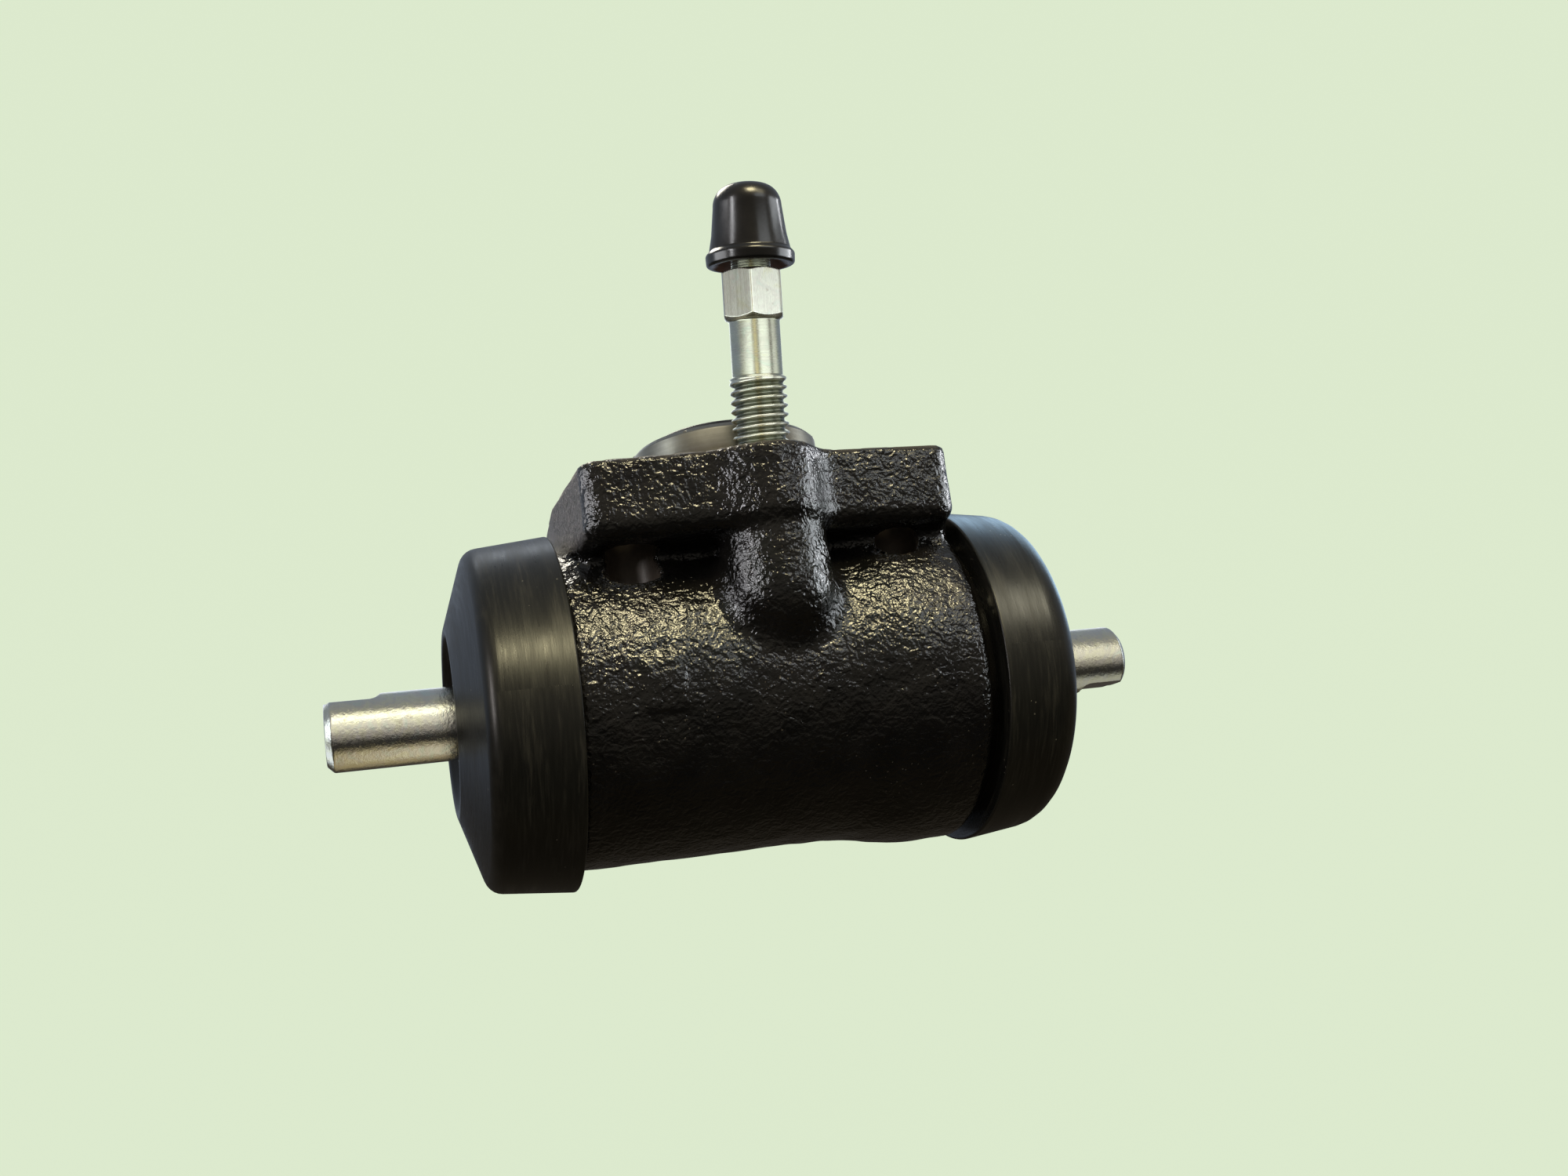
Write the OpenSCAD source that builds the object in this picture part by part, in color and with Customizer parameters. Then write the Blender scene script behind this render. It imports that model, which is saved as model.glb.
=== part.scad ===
// Flanged twin-piston wheel cylinder for a drum brake.
// The bore runs along X, the mounting face of the flange is z = 0 and faces +Z,
// and the bleed screw stands on the front (-Y) side of the spigot.

/* [Housing] */
// Distance from the mounting face down to the bore axis
axis_drop = 30; // [29:0.5:32]
// Bore diameter
bore_d = 31.75; // [30:0.25:33]
// Radius of the cast barrel
barrel_r = 22.2; // [21.8:0.1:22.8]
// Radius of the flared collar at the right end
collar_r = 24; // [23:0.1:24.3]
// Half length of the housing, end to end
end_x = 36.5; // [36:0.5:37]
// Where the cast skin stops on the right
collar_end_x = 27; // [24:0.2:27.4]
// Radius of the machined necks under the boots
neck_r = 21; // [20.5:0.1:21.3]
// Depth of the boot bead groove in each neck
groove_depth = 1.4; // [1:0.1:1.8]
// Chamfer at both mouths of the bore
bore_chamfer = 0.8; // [0.4:0.1:1.2]

/* [Flange] */
// Flange thickness
flange_t = 11; // [9:0.5:12]
// Half width along the front and back edges
flange_edge_x = 26.2; // [24:0.2:27]
// Half width across the middle
flange_mid_x = 27.6; // [26:0.2:29]
// How far the flange outline sits to the right of the spigot
flange_shift = 0.7; // [0:0.1:0.9]
// Half depth from front to back
flange_y = 22; // [20:0.5:24]
// Corner radius of the flange outline
flange_corner_r = 2.5; // [2:0.5:5]
// Bolt spacing along the bore
bolt_dx = 38; // [36:0.5:40]
// Bolt spacing across the bore
bolt_dy = 30; // [29:0.5:32]
// Tapping drill diameter of the bolt holes
bolt_hole_d = 6.8; // [6:0.1:7]
// Depth of the bolt holes below the mounting face
bolt_hole_depth = 15.4; // [14:0.2:16]
// Spigot diameter
spigot_d = 28; // [26:0.5:29]
// Spigot height above the mounting face
spigot_h = 7.5; // [5:0.5:9]
// Chamfer round the top of the spigot
spigot_chamfer = 0.7; // [0.3:0.1:1.2]
// Inlet port diameter
inlet_d = 9; // [8:0.2:10]
// Inlet port depth from the spigot top
inlet_depth = 12; // [10:0.5:13]
// Diameter of the passage from the port to the bore
inlet_passage_d = 4; // [3:0.5:5]
// Length of the inlet plug below its head
plug_l = 8; // [6:0.5:9]
// Thickness of the inlet plug's head
plug_head_t = 1.25; // [1:0.05:1.6]

/* [Bleed] */
// Lean of the bleed screw away from the spigot, in degrees
bleed_lean = 15; // [10:0.5:16]
// Distance of the bleed axis in front of the spigot axis at the mounting face
bleed_y = 19.8; // [19.4:0.2:21]
// Radius of the boss where it swells out of the flange edge
boss_r = 7.6; // [7:0.1:8.5]
// How far round the boss its left web reaches, in degrees
web_turn = 35; // [30:1:50]
// Radius of the fillets between the boss and the flange edge
boss_fillet_r = 3; // [2:0.5:4]
// Radius of the nose that carries the boss down the barrel
nose_r = 7.4; // [7:0.1:7.6]
// Depth of the nose below the mounting face, without its rounded end
nose_depth = 19.2; // [18.5:0.1:20.5]
// Outside radius of the bleed screw thread
thread_r = 3.95; // [3.8:0.05:4]
// Thread length above the mounting face
thread_up = 11; // [9:0.5:12]
// Thread length below the mounting face
thread_down = 9; // [8:0.5:9.5]
// Radius of the plain shank
shank_r = 3.5; // [3.2:0.1:3.7]
// Length of the plain shank
shank_l = 7.2; // [6.6:0.2:8]
// Hexagon size across flats
hex_af = 8; // [7:0.5:8]
// Turn of the hexagon about the screw axis, in degrees
hex_turn = 12; // [0:1:59]
// Hexagon height
hex_h = 6.6; // [5:0.2:8]
// Nipple radius
nipple_r = 2.7; // [2.4:0.1:2.9]
// Nipple length above the hexagon
nipple_l = 8.6; // [8:0.2:9.4]
// Radius of the drilled passage in the screw
drill_r = 1; // [0.8:0.1:1.2]
// Cap brim radius
cap_brim_r = 6.2; // [5.8:0.1:6.6]
// Cap body radius
cap_r = 5.2; // [4.8:0.1:5.6]
// How far the cap's underside is hollowed
cap_hollow = 0.9; // [0.5:0.1:1.1]
// Cap height
cap_h = 11.2; // [10.6:0.2:12]

/* [Pistons] */
// How far pistons, seals, spring and rods have settled along the bore
float_x = -0.6; // [-1:0.1:1]
// Inner face of each piston from the middle of the bore
piston_x = 14; // [13.5:0.5:14.5]
// Piston length
piston_l = 18; // [17:0.5:18.5]
// Length of each cup seal
cup_l = 5.5; // [5:0.5:5.5]
// Lip thickness of the cup seals
cup_lip_t = 2.2; // [1.8:0.1:2.6]
// Sheet thickness of the cup expanders
expander_t = 0.7; // [0.5:0.1:0.8]
// Radius of the hole in each cup expander
expander_hole_r = 2.5; // [2:0.1:3]
// Height of the turned-up edge of each cup expander
expander_h = 2.2; // [2:0.1:2.6]
// Mean radius of the return spring
spring_r = 9; // [8:0.5:9.5]
// Wire radius of the return spring
wire_r = 0.8; // [0.6:0.1:0.9]
// Active turns of the return spring
spring_turns = 5; // [4:1:6]

/* [Push rods] */
// Push rod radius at its free end
rod_r = 5.1; // [5:0.05:5.4]
// How much thicker the guided part of the rod is, on the radius
rod_step = 0.3; // [0.2:0.05:0.4]
// Tip of each push rod from the middle of the bore
rod_tip_x = 59.6; // [57:0.2:62]
// Depth of the seat that holds the rod in the piston
rod_seat = 9; // [8:0.5:10]
// Length of the milled flat at the free end
flat_l = 6; // [5:0.5:6.5]
// Depth of the milled flat
flat_depth = 1.1; // [0.8:0.1:1.3]
// Cutter radius at the run-out of the flat
cutter_r = 1.6; // [1.2:0.1:2.5]

/* [Boots] */
// Open lip of each boot from the middle of the bore
lip_x = 29; // [28.6:0.2:29.6]
// Outside radius of the boot skirt at its open lip
boot_r = 24.9; // [24.5:0.1:25.5]
// Outside radius of the boot skirt at its shoulder
boot_end_r = 23.7; // [23.4:0.1:24.5]
// How far the skirt runs past the end of the housing before it turns into the end face
shoulder_out = 3.4; // [3.1:0.1:4.5]
// How far the crown of the rim stands past the end of the housing
rim_out = 7.1; // [6.9:0.1:7.9]
// Rim radius
rim_r = 13.4; // [13:0.2:14]
// Thickness of the rubber
rubber_t = 2; // [1.8:0.1:2.1]
// Radius of the rounded shoulder
shoulder_r = 2.6; // [2:0.2:2.8]
// Depth of the boot's sleeve behind the crown of the rim
sleeve_depth = 5.4; // [5:0.1:5.6]

/* [Fits] */
// Radial clearance of the pistons in the bore
piston_fit = 0.03; // [0.02:0.01:0.05]
// Radial clearance of the rods in pistons and boots
rod_fit = 0.05; // [0.03:0.01:0.08]
// Radial clearance of the bleed screw in its hole
screw_fit = 0.05; // [0.03:0.01:0.08]
// Radial clearance of rubber pieces on what they sit on
rubber_fit = 0.03; // [0.02:0.01:0.05]
// Gap left between faces that only rest against each other
face_gap = 0.05; // [0.03:0.01:0.1]

/* [Hidden] */
$fn = 96;
eps = 0.01;
bore_r = bore_d / 2;
spigot_r = spigot_d / 2;
groove_r = neck_r - groove_depth;
groove_x0 = lip_x + 3.2;
groove_x1 = groove_x0 + 2.4;
side_angle = atan((flange_mid_x - flange_edge_x) / flange_y);
corner_x = flange_edge_x + flange_corner_r * tan(side_angle) - flange_corner_r / cos(side_angle);
corner_y = flange_y - flange_corner_r;
mid_corner_x = flange_mid_x - flange_corner_r / cos(side_angle);
boss_fillet_x = sqrt(pow(boss_r + boss_fillet_r, 2) - pow(flange_y + boss_fillet_r - bleed_y, 2));
web_x = corner_x - flange_shift;
web_angle = 180 + web_turn;
nose_y = bleed_y - 0.8;
shank_top = thread_up + shank_l;
hex_top = shank_top + 0.5 + hex_h;
nipple_top = hex_top + nipple_l;
cap_base = hex_top + 0.7;
relief_r = thread_r - 0.8;
tip_z = -thread_down - 5.4;
hole_end = -thread_down - 3;
passage_r = 1.3;
expander_r = bore_r - cup_lip_t - 1.6;
cup_floor_x = piston_x - 2;
spring_half = cup_floor_x - expander_t - 2 * face_gap;
seat_x = piston_x + piston_l - rod_seat;
guide_r = rod_r + rod_step;
shoulder_x = end_x + shoulder_out;
rim_x = end_x + rim_out;
rod_step_x = rim_x - 1.2;
flat_x = rod_tip_x - flat_l;
sleeve_r = guide_r + rubber_t;
sleeve_x = rim_x - sleeve_depth;
face_angle = atan((rim_x - shoulder_x) / (boot_end_r - rim_r));
skirt_angle = atan((boot_r - boot_end_r) / (shoulder_x - lip_x));

function arc(cx, cy, r, a0, a1, n) =
  [for (i = [0:n]) [cx + r * cos(a0 + (a1 - a0) * i / n), cy + r * sin(a0 + (a1 - a0) * i / n)]];

module along_bore(side = 1) {
  translate([0, 0, -axis_drop])
    rotate([0, 90 * side, 0])
      children();
}

// Place of the pieces that float between the two pistons
module afloat(side = 1) {
  translate([float_x, 0, 0])
    along_bore(side)
      children();
}

module along_bleed() {
  translate([0, -bleed_y, 0])
    rotate([bleed_lean, 0, 0])
      children();
}

// Barrel, necks and grooves as one turned outline, radius against length
module barrel() {
  along_bore()
    rotate_extrude()
      polygon(concat(
        [[0, -end_x], [neck_r - 0.6, -end_x], [neck_r, -end_x + 0.6]],
        [[neck_r, -groove_x1], [groove_r, -groove_x1], [groove_r, -groove_x0], [neck_r, -groove_x0]],
        [[neck_r, -lip_x + face_gap], [barrel_r - 0.5, -lip_x + face_gap]],
        [[barrel_r, -lip_x + face_gap + 0.5]],
        [for (i = [0:6]) [barrel_r + (collar_r - barrel_r) * (1 - cos(30 * i)) / 2, 6 + 14 * i / 6]],
        arc(collar_r - 2, collar_end_x - 2, 2, 0, 90, 5),
        [[neck_r + 0.6, collar_end_x], [neck_r, collar_end_x + 0.6]],
        [[neck_r, groove_x0], [groove_r, groove_x0], [groove_r, groove_x1], [neck_r, groove_x1]],
        [[neck_r, end_x - 0.6], [neck_r - 0.6, end_x], [0, end_x]]));
}

// Flange outline: six rounded corners, with straight edges between their tangent points
module flange_outline() {
  polygon(concat(
    [[-corner_x, -flange_y], [corner_x, -flange_y]],
    [[corner_x + flange_corner_r * cos(side_angle), -corner_y - flange_corner_r * sin(side_angle)]],
    [[mid_corner_x + flange_corner_r * cos(side_angle), -flange_corner_r * sin(side_angle)]],
    [[mid_corner_x + flange_corner_r * cos(side_angle), flange_corner_r * sin(side_angle)]],
    [[corner_x + flange_corner_r * cos(side_angle), corner_y + flange_corner_r * sin(side_angle)]],
    [[corner_x, flange_y], [-corner_x, flange_y]],
    [[-corner_x - flange_corner_r * cos(side_angle), corner_y + flange_corner_r * sin(side_angle)]],
    [[-mid_corner_x - flange_corner_r * cos(side_angle), flange_corner_r * sin(side_angle)]],
    [[-mid_corner_x - flange_corner_r * cos(side_angle), -flange_corner_r * sin(side_angle)]],
    [[-corner_x - flange_corner_r * cos(side_angle), -corner_y - flange_corner_r * sin(side_angle)]]));
  for (sx = [-1, 1]) {
    translate([sx * mid_corner_x, 0])
      circle(flange_corner_r);
    for (sy = [-1, 1])
      translate([sx * corner_x, sy * corner_y])
        circle(flange_corner_r);
  }
}

// Boss outline on the flange edge, with a fillet on either side
module boss_outline() {
  translate([0, -bleed_y])
    circle(boss_r);
  difference() {
    translate([-boss_fillet_x, -flange_y - boss_fillet_r])
      square([2 * boss_fillet_x, boss_fillet_r + 1]);
    for (sx = [-1, 1])
      translate([sx * boss_fillet_x, -flange_y - boss_fillet_r])
        circle(boss_fillet_r);
    translate([-boss_fillet_x, -flange_y - boss_fillet_r - eps])
      square([2 * boss_fillet_x, boss_fillet_r * 0.3]);
  }
}

// Web that fills the left side of the boss out to the flange corner
module boss_web() {
  polygon([[-web_x, -flange_y], [boss_r * cos(web_angle), -bleed_y + boss_r * sin(web_angle)],
    [0, -bleed_y], [-web_x, 2 - flange_y]]);
}

// Nose under the boss: a plain pillar with a domed lower end that runs into the barrel
module nose() {
  translate([0, -nose_y, 0])
    rotate_extrude()
      polygon(concat(
        [[0, -nose_depth - nose_r]],
        [for (i = [1:9]) [nose_r * sin(10 * i), -nose_depth - nose_r * cos(10 * i)]],
        [[nose_r, -flange_t + 1], [0, -flange_t + 1]]));
}

module spigot() {
  translate([0, 0, -1])
    cylinder(r = spigot_r, h = spigot_h + 1 - spigot_chamfer);
  translate([0, 0, spigot_h - spigot_chamfer])
    cylinder(r1 = spigot_r, r2 = spigot_r - spigot_chamfer, h = spigot_chamfer);
}

// Blind drilling with the cone of the drill point at its end
module bolt_hole() {
  r = bolt_hole_d / 2;
  rotate_extrude()
    polygon([[0, -bolt_hole_depth - r * 0.5], [r * 0.08, -bolt_hole_depth - r * 0.5],
      [r, -bolt_hole_depth], [r, bolt_hole_depth * 0.1], [0, bolt_hole_depth * 0.1]]);
}

// Stepped drilling for the bleed screw: thread bore, seat cone and passage to the bore
module bleed_drilling() {
  along_bleed() {
    translate([0, 0, hole_end])
      cylinder(r = thread_r + screw_fit, h = -hole_end + 8);
    translate([0, 0, tip_z])
      cylinder(r1 = passage_r, r2 = relief_r + 0.4, h = hole_end - tip_z + eps);
    translate([0, 0, -axis_drop + passage_r * 2])
      cylinder(r = passage_r, h = axis_drop - passage_r * 2);
  }
}

module housing() {
  color("#1d1c1b")
    difference() {
      union() {
        barrel();
        translate([0, 0, -flange_t])
          linear_extrude(height = flange_t) {
            translate([flange_shift, 0])
              flange_outline();
            boss_outline();
            boss_web();
          }
        nose();
        spigot();
      }
      along_bore()
        translate([0, 0, -end_x - 1])
          cylinder(r = bore_r, h = 2 * end_x + 2);
      for (side = [-1, 1])
        along_bore(side)
          translate([0, 0, end_x - bore_chamfer])
            cylinder(r1 = bore_r, r2 = bore_r + bore_chamfer + eps, h = bore_chamfer + eps);
      for (sx = [-1, 1], sy = [-1, 1])
        translate([sx * bolt_dx / 2, sy * bolt_dy / 2, 0])
          bolt_hole();
      translate([0, 0, spigot_h - inlet_depth])
        cylinder(d = inlet_d, h = inlet_depth + 1);
      translate([0, 0, -axis_drop])
        cylinder(d = inlet_passage_d, h = axis_drop);
      bleed_drilling();
    }
}

// Piston with chamfered ends and a blind seat for the rod
module piston(side) {
  r = bore_r - piston_fit;
  afloat(side)
    rotate_extrude()
      polygon([[0, piston_x], [r - 0.8, piston_x], [r, piston_x + 0.8], [r, piston_x + piston_l - 1],
        [r - 1, piston_x + piston_l], [guide_r + rod_fit + 0.8, piston_x + piston_l],
        [guide_r + rod_fit, piston_x + piston_l - 0.8], [guide_r + rod_fit, seat_x], [0, seat_x - 2.4]]);
}

module left_piston() {
  color("#b9babb")
    piston(-1);
}

module right_piston() {
  color("#b9babb")
    piston(1);
}

// Cup seal: flat back on the piston, lip flared towards the fluid
module cup_seal(side) {
  r = bore_r - rubber_fit;
  back = piston_x - face_gap;
  afloat(side)
    rotate_extrude()
      polygon([[0, cup_floor_x], [bore_r - cup_lip_t - 1.2, cup_floor_x],
        [bore_r - cup_lip_t - 0.4, cup_floor_x - 0.8], [r - 0.9, back - cup_l], [r - 0.3, back - cup_l],
        [r, back - cup_l + 0.6], [r, back - cup_l + 1.6], [r - 0.35, back - 0.8], [r - 1, back],
        [0, back]]);
}

module left_cup_seal() {
  color("#262626")
    cup_seal(-1);
}

module right_cup_seal() {
  color("#262626")
    cup_seal(1);
}

// Pressed steel washer that spreads the cup and takes the spring
module cup_expander(side) {
  back = cup_floor_x - face_gap;
  afloat(side)
    rotate_extrude()
      polygon([[expander_hole_r, back], [expander_r - 1, back], [expander_r, back - expander_h],
        [expander_r - expander_t, back - expander_h], [expander_r - 1 - expander_t, back - expander_t],
        [expander_hole_r, back - expander_t]]);
}

module left_cup_expander() {
  color("#9a9c9e")
    cup_expander(-1);
}

module right_cup_expander() {
  color("#9a9c9e")
    cup_expander(1);
}

// Spring as one twisted section: round wire cut square to the bore is a curved lens
module return_spring() {
  pitch = 2 * spring_half / spring_turns;
  color("#8d9093")
    afloat()
      translate([0, 0, -spring_half])
        linear_extrude(height = 2 * spring_half, twist = -360 * spring_turns, slices = 20 * spring_turns,
            $fn = 12)
          polygon([for (t = [0:15:345])
            let (turn = 360 * wire_r * cos(t) / pitch, r = spring_r + wire_r * sin(t))
              [r * cos(turn), r * sin(turn)]]);
}

// Push rod with a coned inner end, a chamfered tip and one milled flat
module push_rod(side, flat_up) {
  afloat(side)
    difference() {
      rotate_extrude()
        polygon([[0, seat_x - 2.4 + 2 * face_gap], [guide_r, seat_x + 2 * face_gap], [guide_r, rod_step_x],
          [rod_r, rod_step_x], [rod_r, rod_tip_x - 0.9], [rod_r - 0.9, rod_tip_x], [0, rod_tip_x]]);
      rotate([0, 0, flat_up])
        translate([rod_r - flat_depth, -rod_r - 1, flat_x])
          cube([rod_r, 2 * rod_r + 2, flat_l + 1]);
      rotate([0, 0, flat_up])
        translate([rod_r - flat_depth + cutter_r, rod_r + 1, flat_x])
          rotate([90, 0, 0])
            cylinder(r = cutter_r, h = 2 * rod_r + 2);
    }
}

module left_push_rod() {
  color("#c9c6bd")
    push_rod(-1, 0);
}

module right_push_rod() {
  color("#c9c6bd")
    push_rod(1, 0);
}

// Dust boot as one turned outline: skirt with bead, rounded shoulder, sloping face,
// rim and an inward fold that ends in a sleeve on the rod
module dust_boot(side) {
  ri = neck_r + rubber_fit;
  rb = groove_r + rubber_fit;
  rs = guide_r + rod_fit;
  tip_r = rubber_t * 0.62;
  fold = 42;
  along_bore(side)
    rotate_extrude()
      polygon(concat(
        [[ri, lip_x], [boot_r - 0.6, lip_x], [boot_r, lip_x + 0.6]],
        arc(boot_end_r - shoulder_r, shoulder_x - shoulder_r, shoulder_r, skirt_angle, 90 - face_angle, 6),
        arc(rim_r, rim_x - tip_r, tip_r, 90 - face_angle, 90 + fold, 6),
        [[sleeve_r + 1.4, sleeve_x + 2], [sleeve_r + 0.6, sleeve_x + 1.6], [sleeve_r, sleeve_x + 1.9]],
        [[sleeve_r - 0.2, rim_x - 2.4], [sleeve_r - 0.6, rim_x - 2], [rs + 0.5, rim_x - 2]],
        [[rs, rim_x - 2.5], [rs, sleeve_x], [sleeve_r + 1.8, sleeve_x], [sleeve_r + 2.6, sleeve_x + 0.3]],
        [[rim_r - 1, rim_x - tip_r - 1.5], [rim_r + 0.2, rim_x - tip_r - 0.9]],
        [[boot_end_r - shoulder_r - 1.1, shoulder_x - rubber_t - 0.3]],
        [[boot_end_r - rubber_t - 0.5, end_x + 0.9], [ri, end_x + 0.3]],
        [[ri, groove_x1], [rb, groove_x1 - 0.15], [rb, groove_x0 + 0.15], [ri, groove_x0]]));
}

module left_dust_boot() {
  color("#2b2a29")
    dust_boot(-1);
}

module right_dust_boot() {
  color("#2b2a29")
    dust_boot(1);
}

// Bleed screw: seat cone, relief, thread, shank, hexagon, neck and nipple, drilled through
module bleed_screw() {
  color("#d3d0c4")
    along_bleed()
      difference() {
        union() {
          rotate_extrude()
            polygon([[0, tip_z + 1], [passage_r + 0.3, tip_z + 1], [relief_r - 0.2, hole_end + 0.2],
              [relief_r, hole_end + 0.6], [relief_r, -thread_down - 0.8], [thread_r, -thread_down],
              [thread_r, thread_up - 0.5], [shank_r, thread_up], [shank_r, shank_top + 0.2],
              [shank_r, shank_top + 1], [0, shank_top + 1]]);
          intersection() {
            translate([0, 0, shank_top + 0.5])
              rotate([0, 0, hex_turn])
                cylinder(d = hex_af / cos(30), h = hex_h, $fn = 6);
            rotate_extrude()
              polygon([[0, shank_top + 0.5], [hex_af / 2 - 0.1, shank_top + 0.5],
                [hex_af / 2 + 0.7, shank_top + 1], [hex_af / 2 + 0.7, hex_top - 0.5],
                [hex_af / 2 - 0.1, hex_top], [0, hex_top]]);
          }
          rotate_extrude()
            polygon([[0, hex_top - 1], [nipple_r, hex_top - 1], [nipple_r, nipple_top - 2.6],
              [nipple_r + 0.35, nipple_top - 2.4], [nipple_r - 0.6, nipple_top], [0, nipple_top]]);
        }
        translate([0, 0, hole_end + 1.6])
          cylinder(r = drill_r, h = nipple_top - hole_end);
        translate([-thread_r - 1, 0, hole_end + 1.6])
          rotate([0, 90, 0])
            cylinder(r = drill_r * 0.8, h = 2 * thread_r + 2);
      }
}

// Rubber cap: hollowed brim, waist and flat-topped crown over a blind hole for the nipple
module bleed_cap() {
  hole_r = nipple_r + 0.35 + rubber_fit;
  crown = cap_base + cap_h;
  color("#232221")
    along_bleed()
      rotate_extrude()
        polygon(concat(
          [[hole_r, cap_base + cap_hollow + 0.3], [hole_r + 0.3, cap_base + cap_hollow]],
          [[cap_brim_r - 0.9, cap_base], [cap_brim_r - 0.5, cap_base]],
          [[cap_brim_r, cap_base + 0.5], [cap_brim_r, cap_base + 1.3], [cap_brim_r - 0.3, cap_base + 1.7]],
          [[cap_r + 0.1, cap_base + 2.2], [cap_r, cap_base + 2.8]],
          [for (i = [0:6]) [cap_r * 0.91 * pow(cos(15 * i), 0.62), crown - 3.2 + 3.2 * sin(15 * i)]],
          [[0, nipple_top + 0.4], [hole_r - 0.8, nipple_top + 0.4], [hole_r, nipple_top - 0.2]]));
}

// Shipping plug: a stem in the inlet port under a thin round head
module inlet_plug() {
  stem_r = inlet_d / 2 - rubber_fit;
  head_r = spigot_r * 0.78;
  seat_z = spigot_h + face_gap;
  color("#1a1a1a")
    rotate_extrude()
      polygon([[0, seat_z - plug_l], [stem_r - plug_l * 0.1, seat_z - plug_l],
        [stem_r, seat_z - plug_l * 0.9], [stem_r, seat_z], [head_r - plug_head_t * 0.25, seat_z],
        [head_r, seat_z + plug_head_t * 0.3],
        [head_r, seat_z + plug_head_t * 0.65], [head_r - plug_head_t * 0.4, seat_z + plug_head_t],
        [0, seat_z + plug_head_t]]);
}

housing();
left_piston();
right_piston();
left_cup_seal();
right_cup_seal();
left_cup_expander();
right_cup_expander();
return_spring();
left_push_rod();
right_push_rod();
left_dust_boot();
right_dust_boot();
bleed_screw();
bleed_cap();
inlet_plug();
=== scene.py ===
import math

import bmesh
import bpy
import numpy as np
from mathutils import Matrix, Vector


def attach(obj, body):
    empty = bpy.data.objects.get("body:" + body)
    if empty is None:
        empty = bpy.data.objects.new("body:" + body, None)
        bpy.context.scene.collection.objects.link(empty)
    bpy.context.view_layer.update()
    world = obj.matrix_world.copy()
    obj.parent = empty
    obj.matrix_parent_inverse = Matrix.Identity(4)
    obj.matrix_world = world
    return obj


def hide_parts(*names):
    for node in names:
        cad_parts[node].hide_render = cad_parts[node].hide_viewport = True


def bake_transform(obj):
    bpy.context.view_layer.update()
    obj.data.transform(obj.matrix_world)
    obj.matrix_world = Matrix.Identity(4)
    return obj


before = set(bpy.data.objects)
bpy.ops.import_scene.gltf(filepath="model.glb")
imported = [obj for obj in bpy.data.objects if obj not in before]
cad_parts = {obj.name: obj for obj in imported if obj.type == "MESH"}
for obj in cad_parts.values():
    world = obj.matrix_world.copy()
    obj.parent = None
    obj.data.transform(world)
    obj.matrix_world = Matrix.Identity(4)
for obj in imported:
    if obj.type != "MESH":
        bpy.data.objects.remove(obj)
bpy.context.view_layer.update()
print("frame:", len(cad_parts), "nodes")

# all shapes below are worked out in millimetres in the part's own frame
mm = 0.001           # one millimetre in metres
weldGap = 2e-7       # points closer than this, in metres, are one
boreZ = -30.0        # bore axis under the mounting face
settled = -0.6       # pistons and rods have crept this far along the bore


# small mesh helpers

rounding = dict(straight=1.5, reach=0.48, arcStep=0.22, support=0.05)


def ease(value, start, run):
    # 0 up to start, 1 past start + run, straight between
    return np.clip((value - start) / run, 0, 1)


def roundedPath(corners):
    # a polyline of (along, radius, fillet): each fillet is an arc tangent to its two stretches,
    # with a support point just outside either end so that flat stretches shade flat
    k = rounding
    pts = np.array([c[:2] for c in corners], float)
    out = [pts[:1]]
    for i in range(1, len(corners) - 1):
        p, r = pts[i], corners[i][2]
        a, b = pts[i - 1] - p, pts[i + 1] - p
        la, lb = np.linalg.norm(a), np.linalg.norm(b)
        a, b = a / la, b / lb
        half = math.acos(max(-1.0, min(1.0, float(a @ b)))) / 2
        if r <= 0 or half > k["straight"]:
            out.append(p[None])
            continue
        cut = min(r / math.tan(half), la * k["reach"], lb * k["reach"])
        rad = cut * math.tan(half)
        mid = (a + b) / np.linalg.norm(a + b) * (rad / math.sin(half)) + p
        start, end = p + a * cut - mid, p + b * cut - mid
        turn = math.atan2(start[0] * end[1] - start[1] * end[0], float(start @ end))
        steps = max(3, int(abs(turn) / k["arcStep"]))
        t = np.linspace(0, turn, steps + 1)[:, None]
        arc = mid + start * np.cos(t) + np.stack([-start[1], start[0]]) * np.sin(t)
        ends = [p + v * min(cut + k["support"], long * 0.5) for v, long in ((a, la), (b, lb))]
        out += [ends[0][None], arc, ends[1][None]]
    out.append(pts[-1:])
    return np.concatenate(out)


def gridFaces(rows, cols, wrapRows):
    # quads between neighbouring rows of a grid whose columns always close round
    i = np.arange(rows if wrapRows else rows - 1)[:, None]
    j = np.arange(cols)[None, :]
    n, k = (i + 1) % rows, (j + 1) % cols
    return np.stack([i * cols + j, i * cols + k, n * cols + k, n * cols + j], -1).reshape(-1, 4)


def makeMesh(name, points, faces, tidy=True):
    # points in mm become a smooth mesh in metres; tidy welds poles and turns faces outwards
    mesh = bpy.data.meshes.new(name)
    mesh.from_pydata((points * mm).tolist(), [], faces.tolist())
    if tidy:
        bm = bmesh.new()
        bm.from_mesh(mesh)
        bmesh.ops.remove_doubles(bm, verts=bm.verts, dist=weldGap)
        bmesh.ops.recalc_face_normals(bm, faces=bm.faces)
        bm.to_mesh(mesh)
        bm.free()
    mesh.polygons.foreach_set("use_smooth", np.ones(len(mesh.polygons), bool))
    mesh.update()
    piece = bpy.data.objects.new(name, mesh)
    bpy.context.scene.collection.objects.link(piece)
    return piece


def axisFrame(origin, direction):
    # origin, unit direction and two unit vectors square to it
    d = np.array(direction, float) / np.linalg.norm(direction)
    u = np.cross(d, (0, 1, 0) if abs(d[1]) < 0.9 else (1, 0, 0))
    u /= np.linalg.norm(u)
    return np.array(origin, float), d, u, np.cross(d, u)


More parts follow.
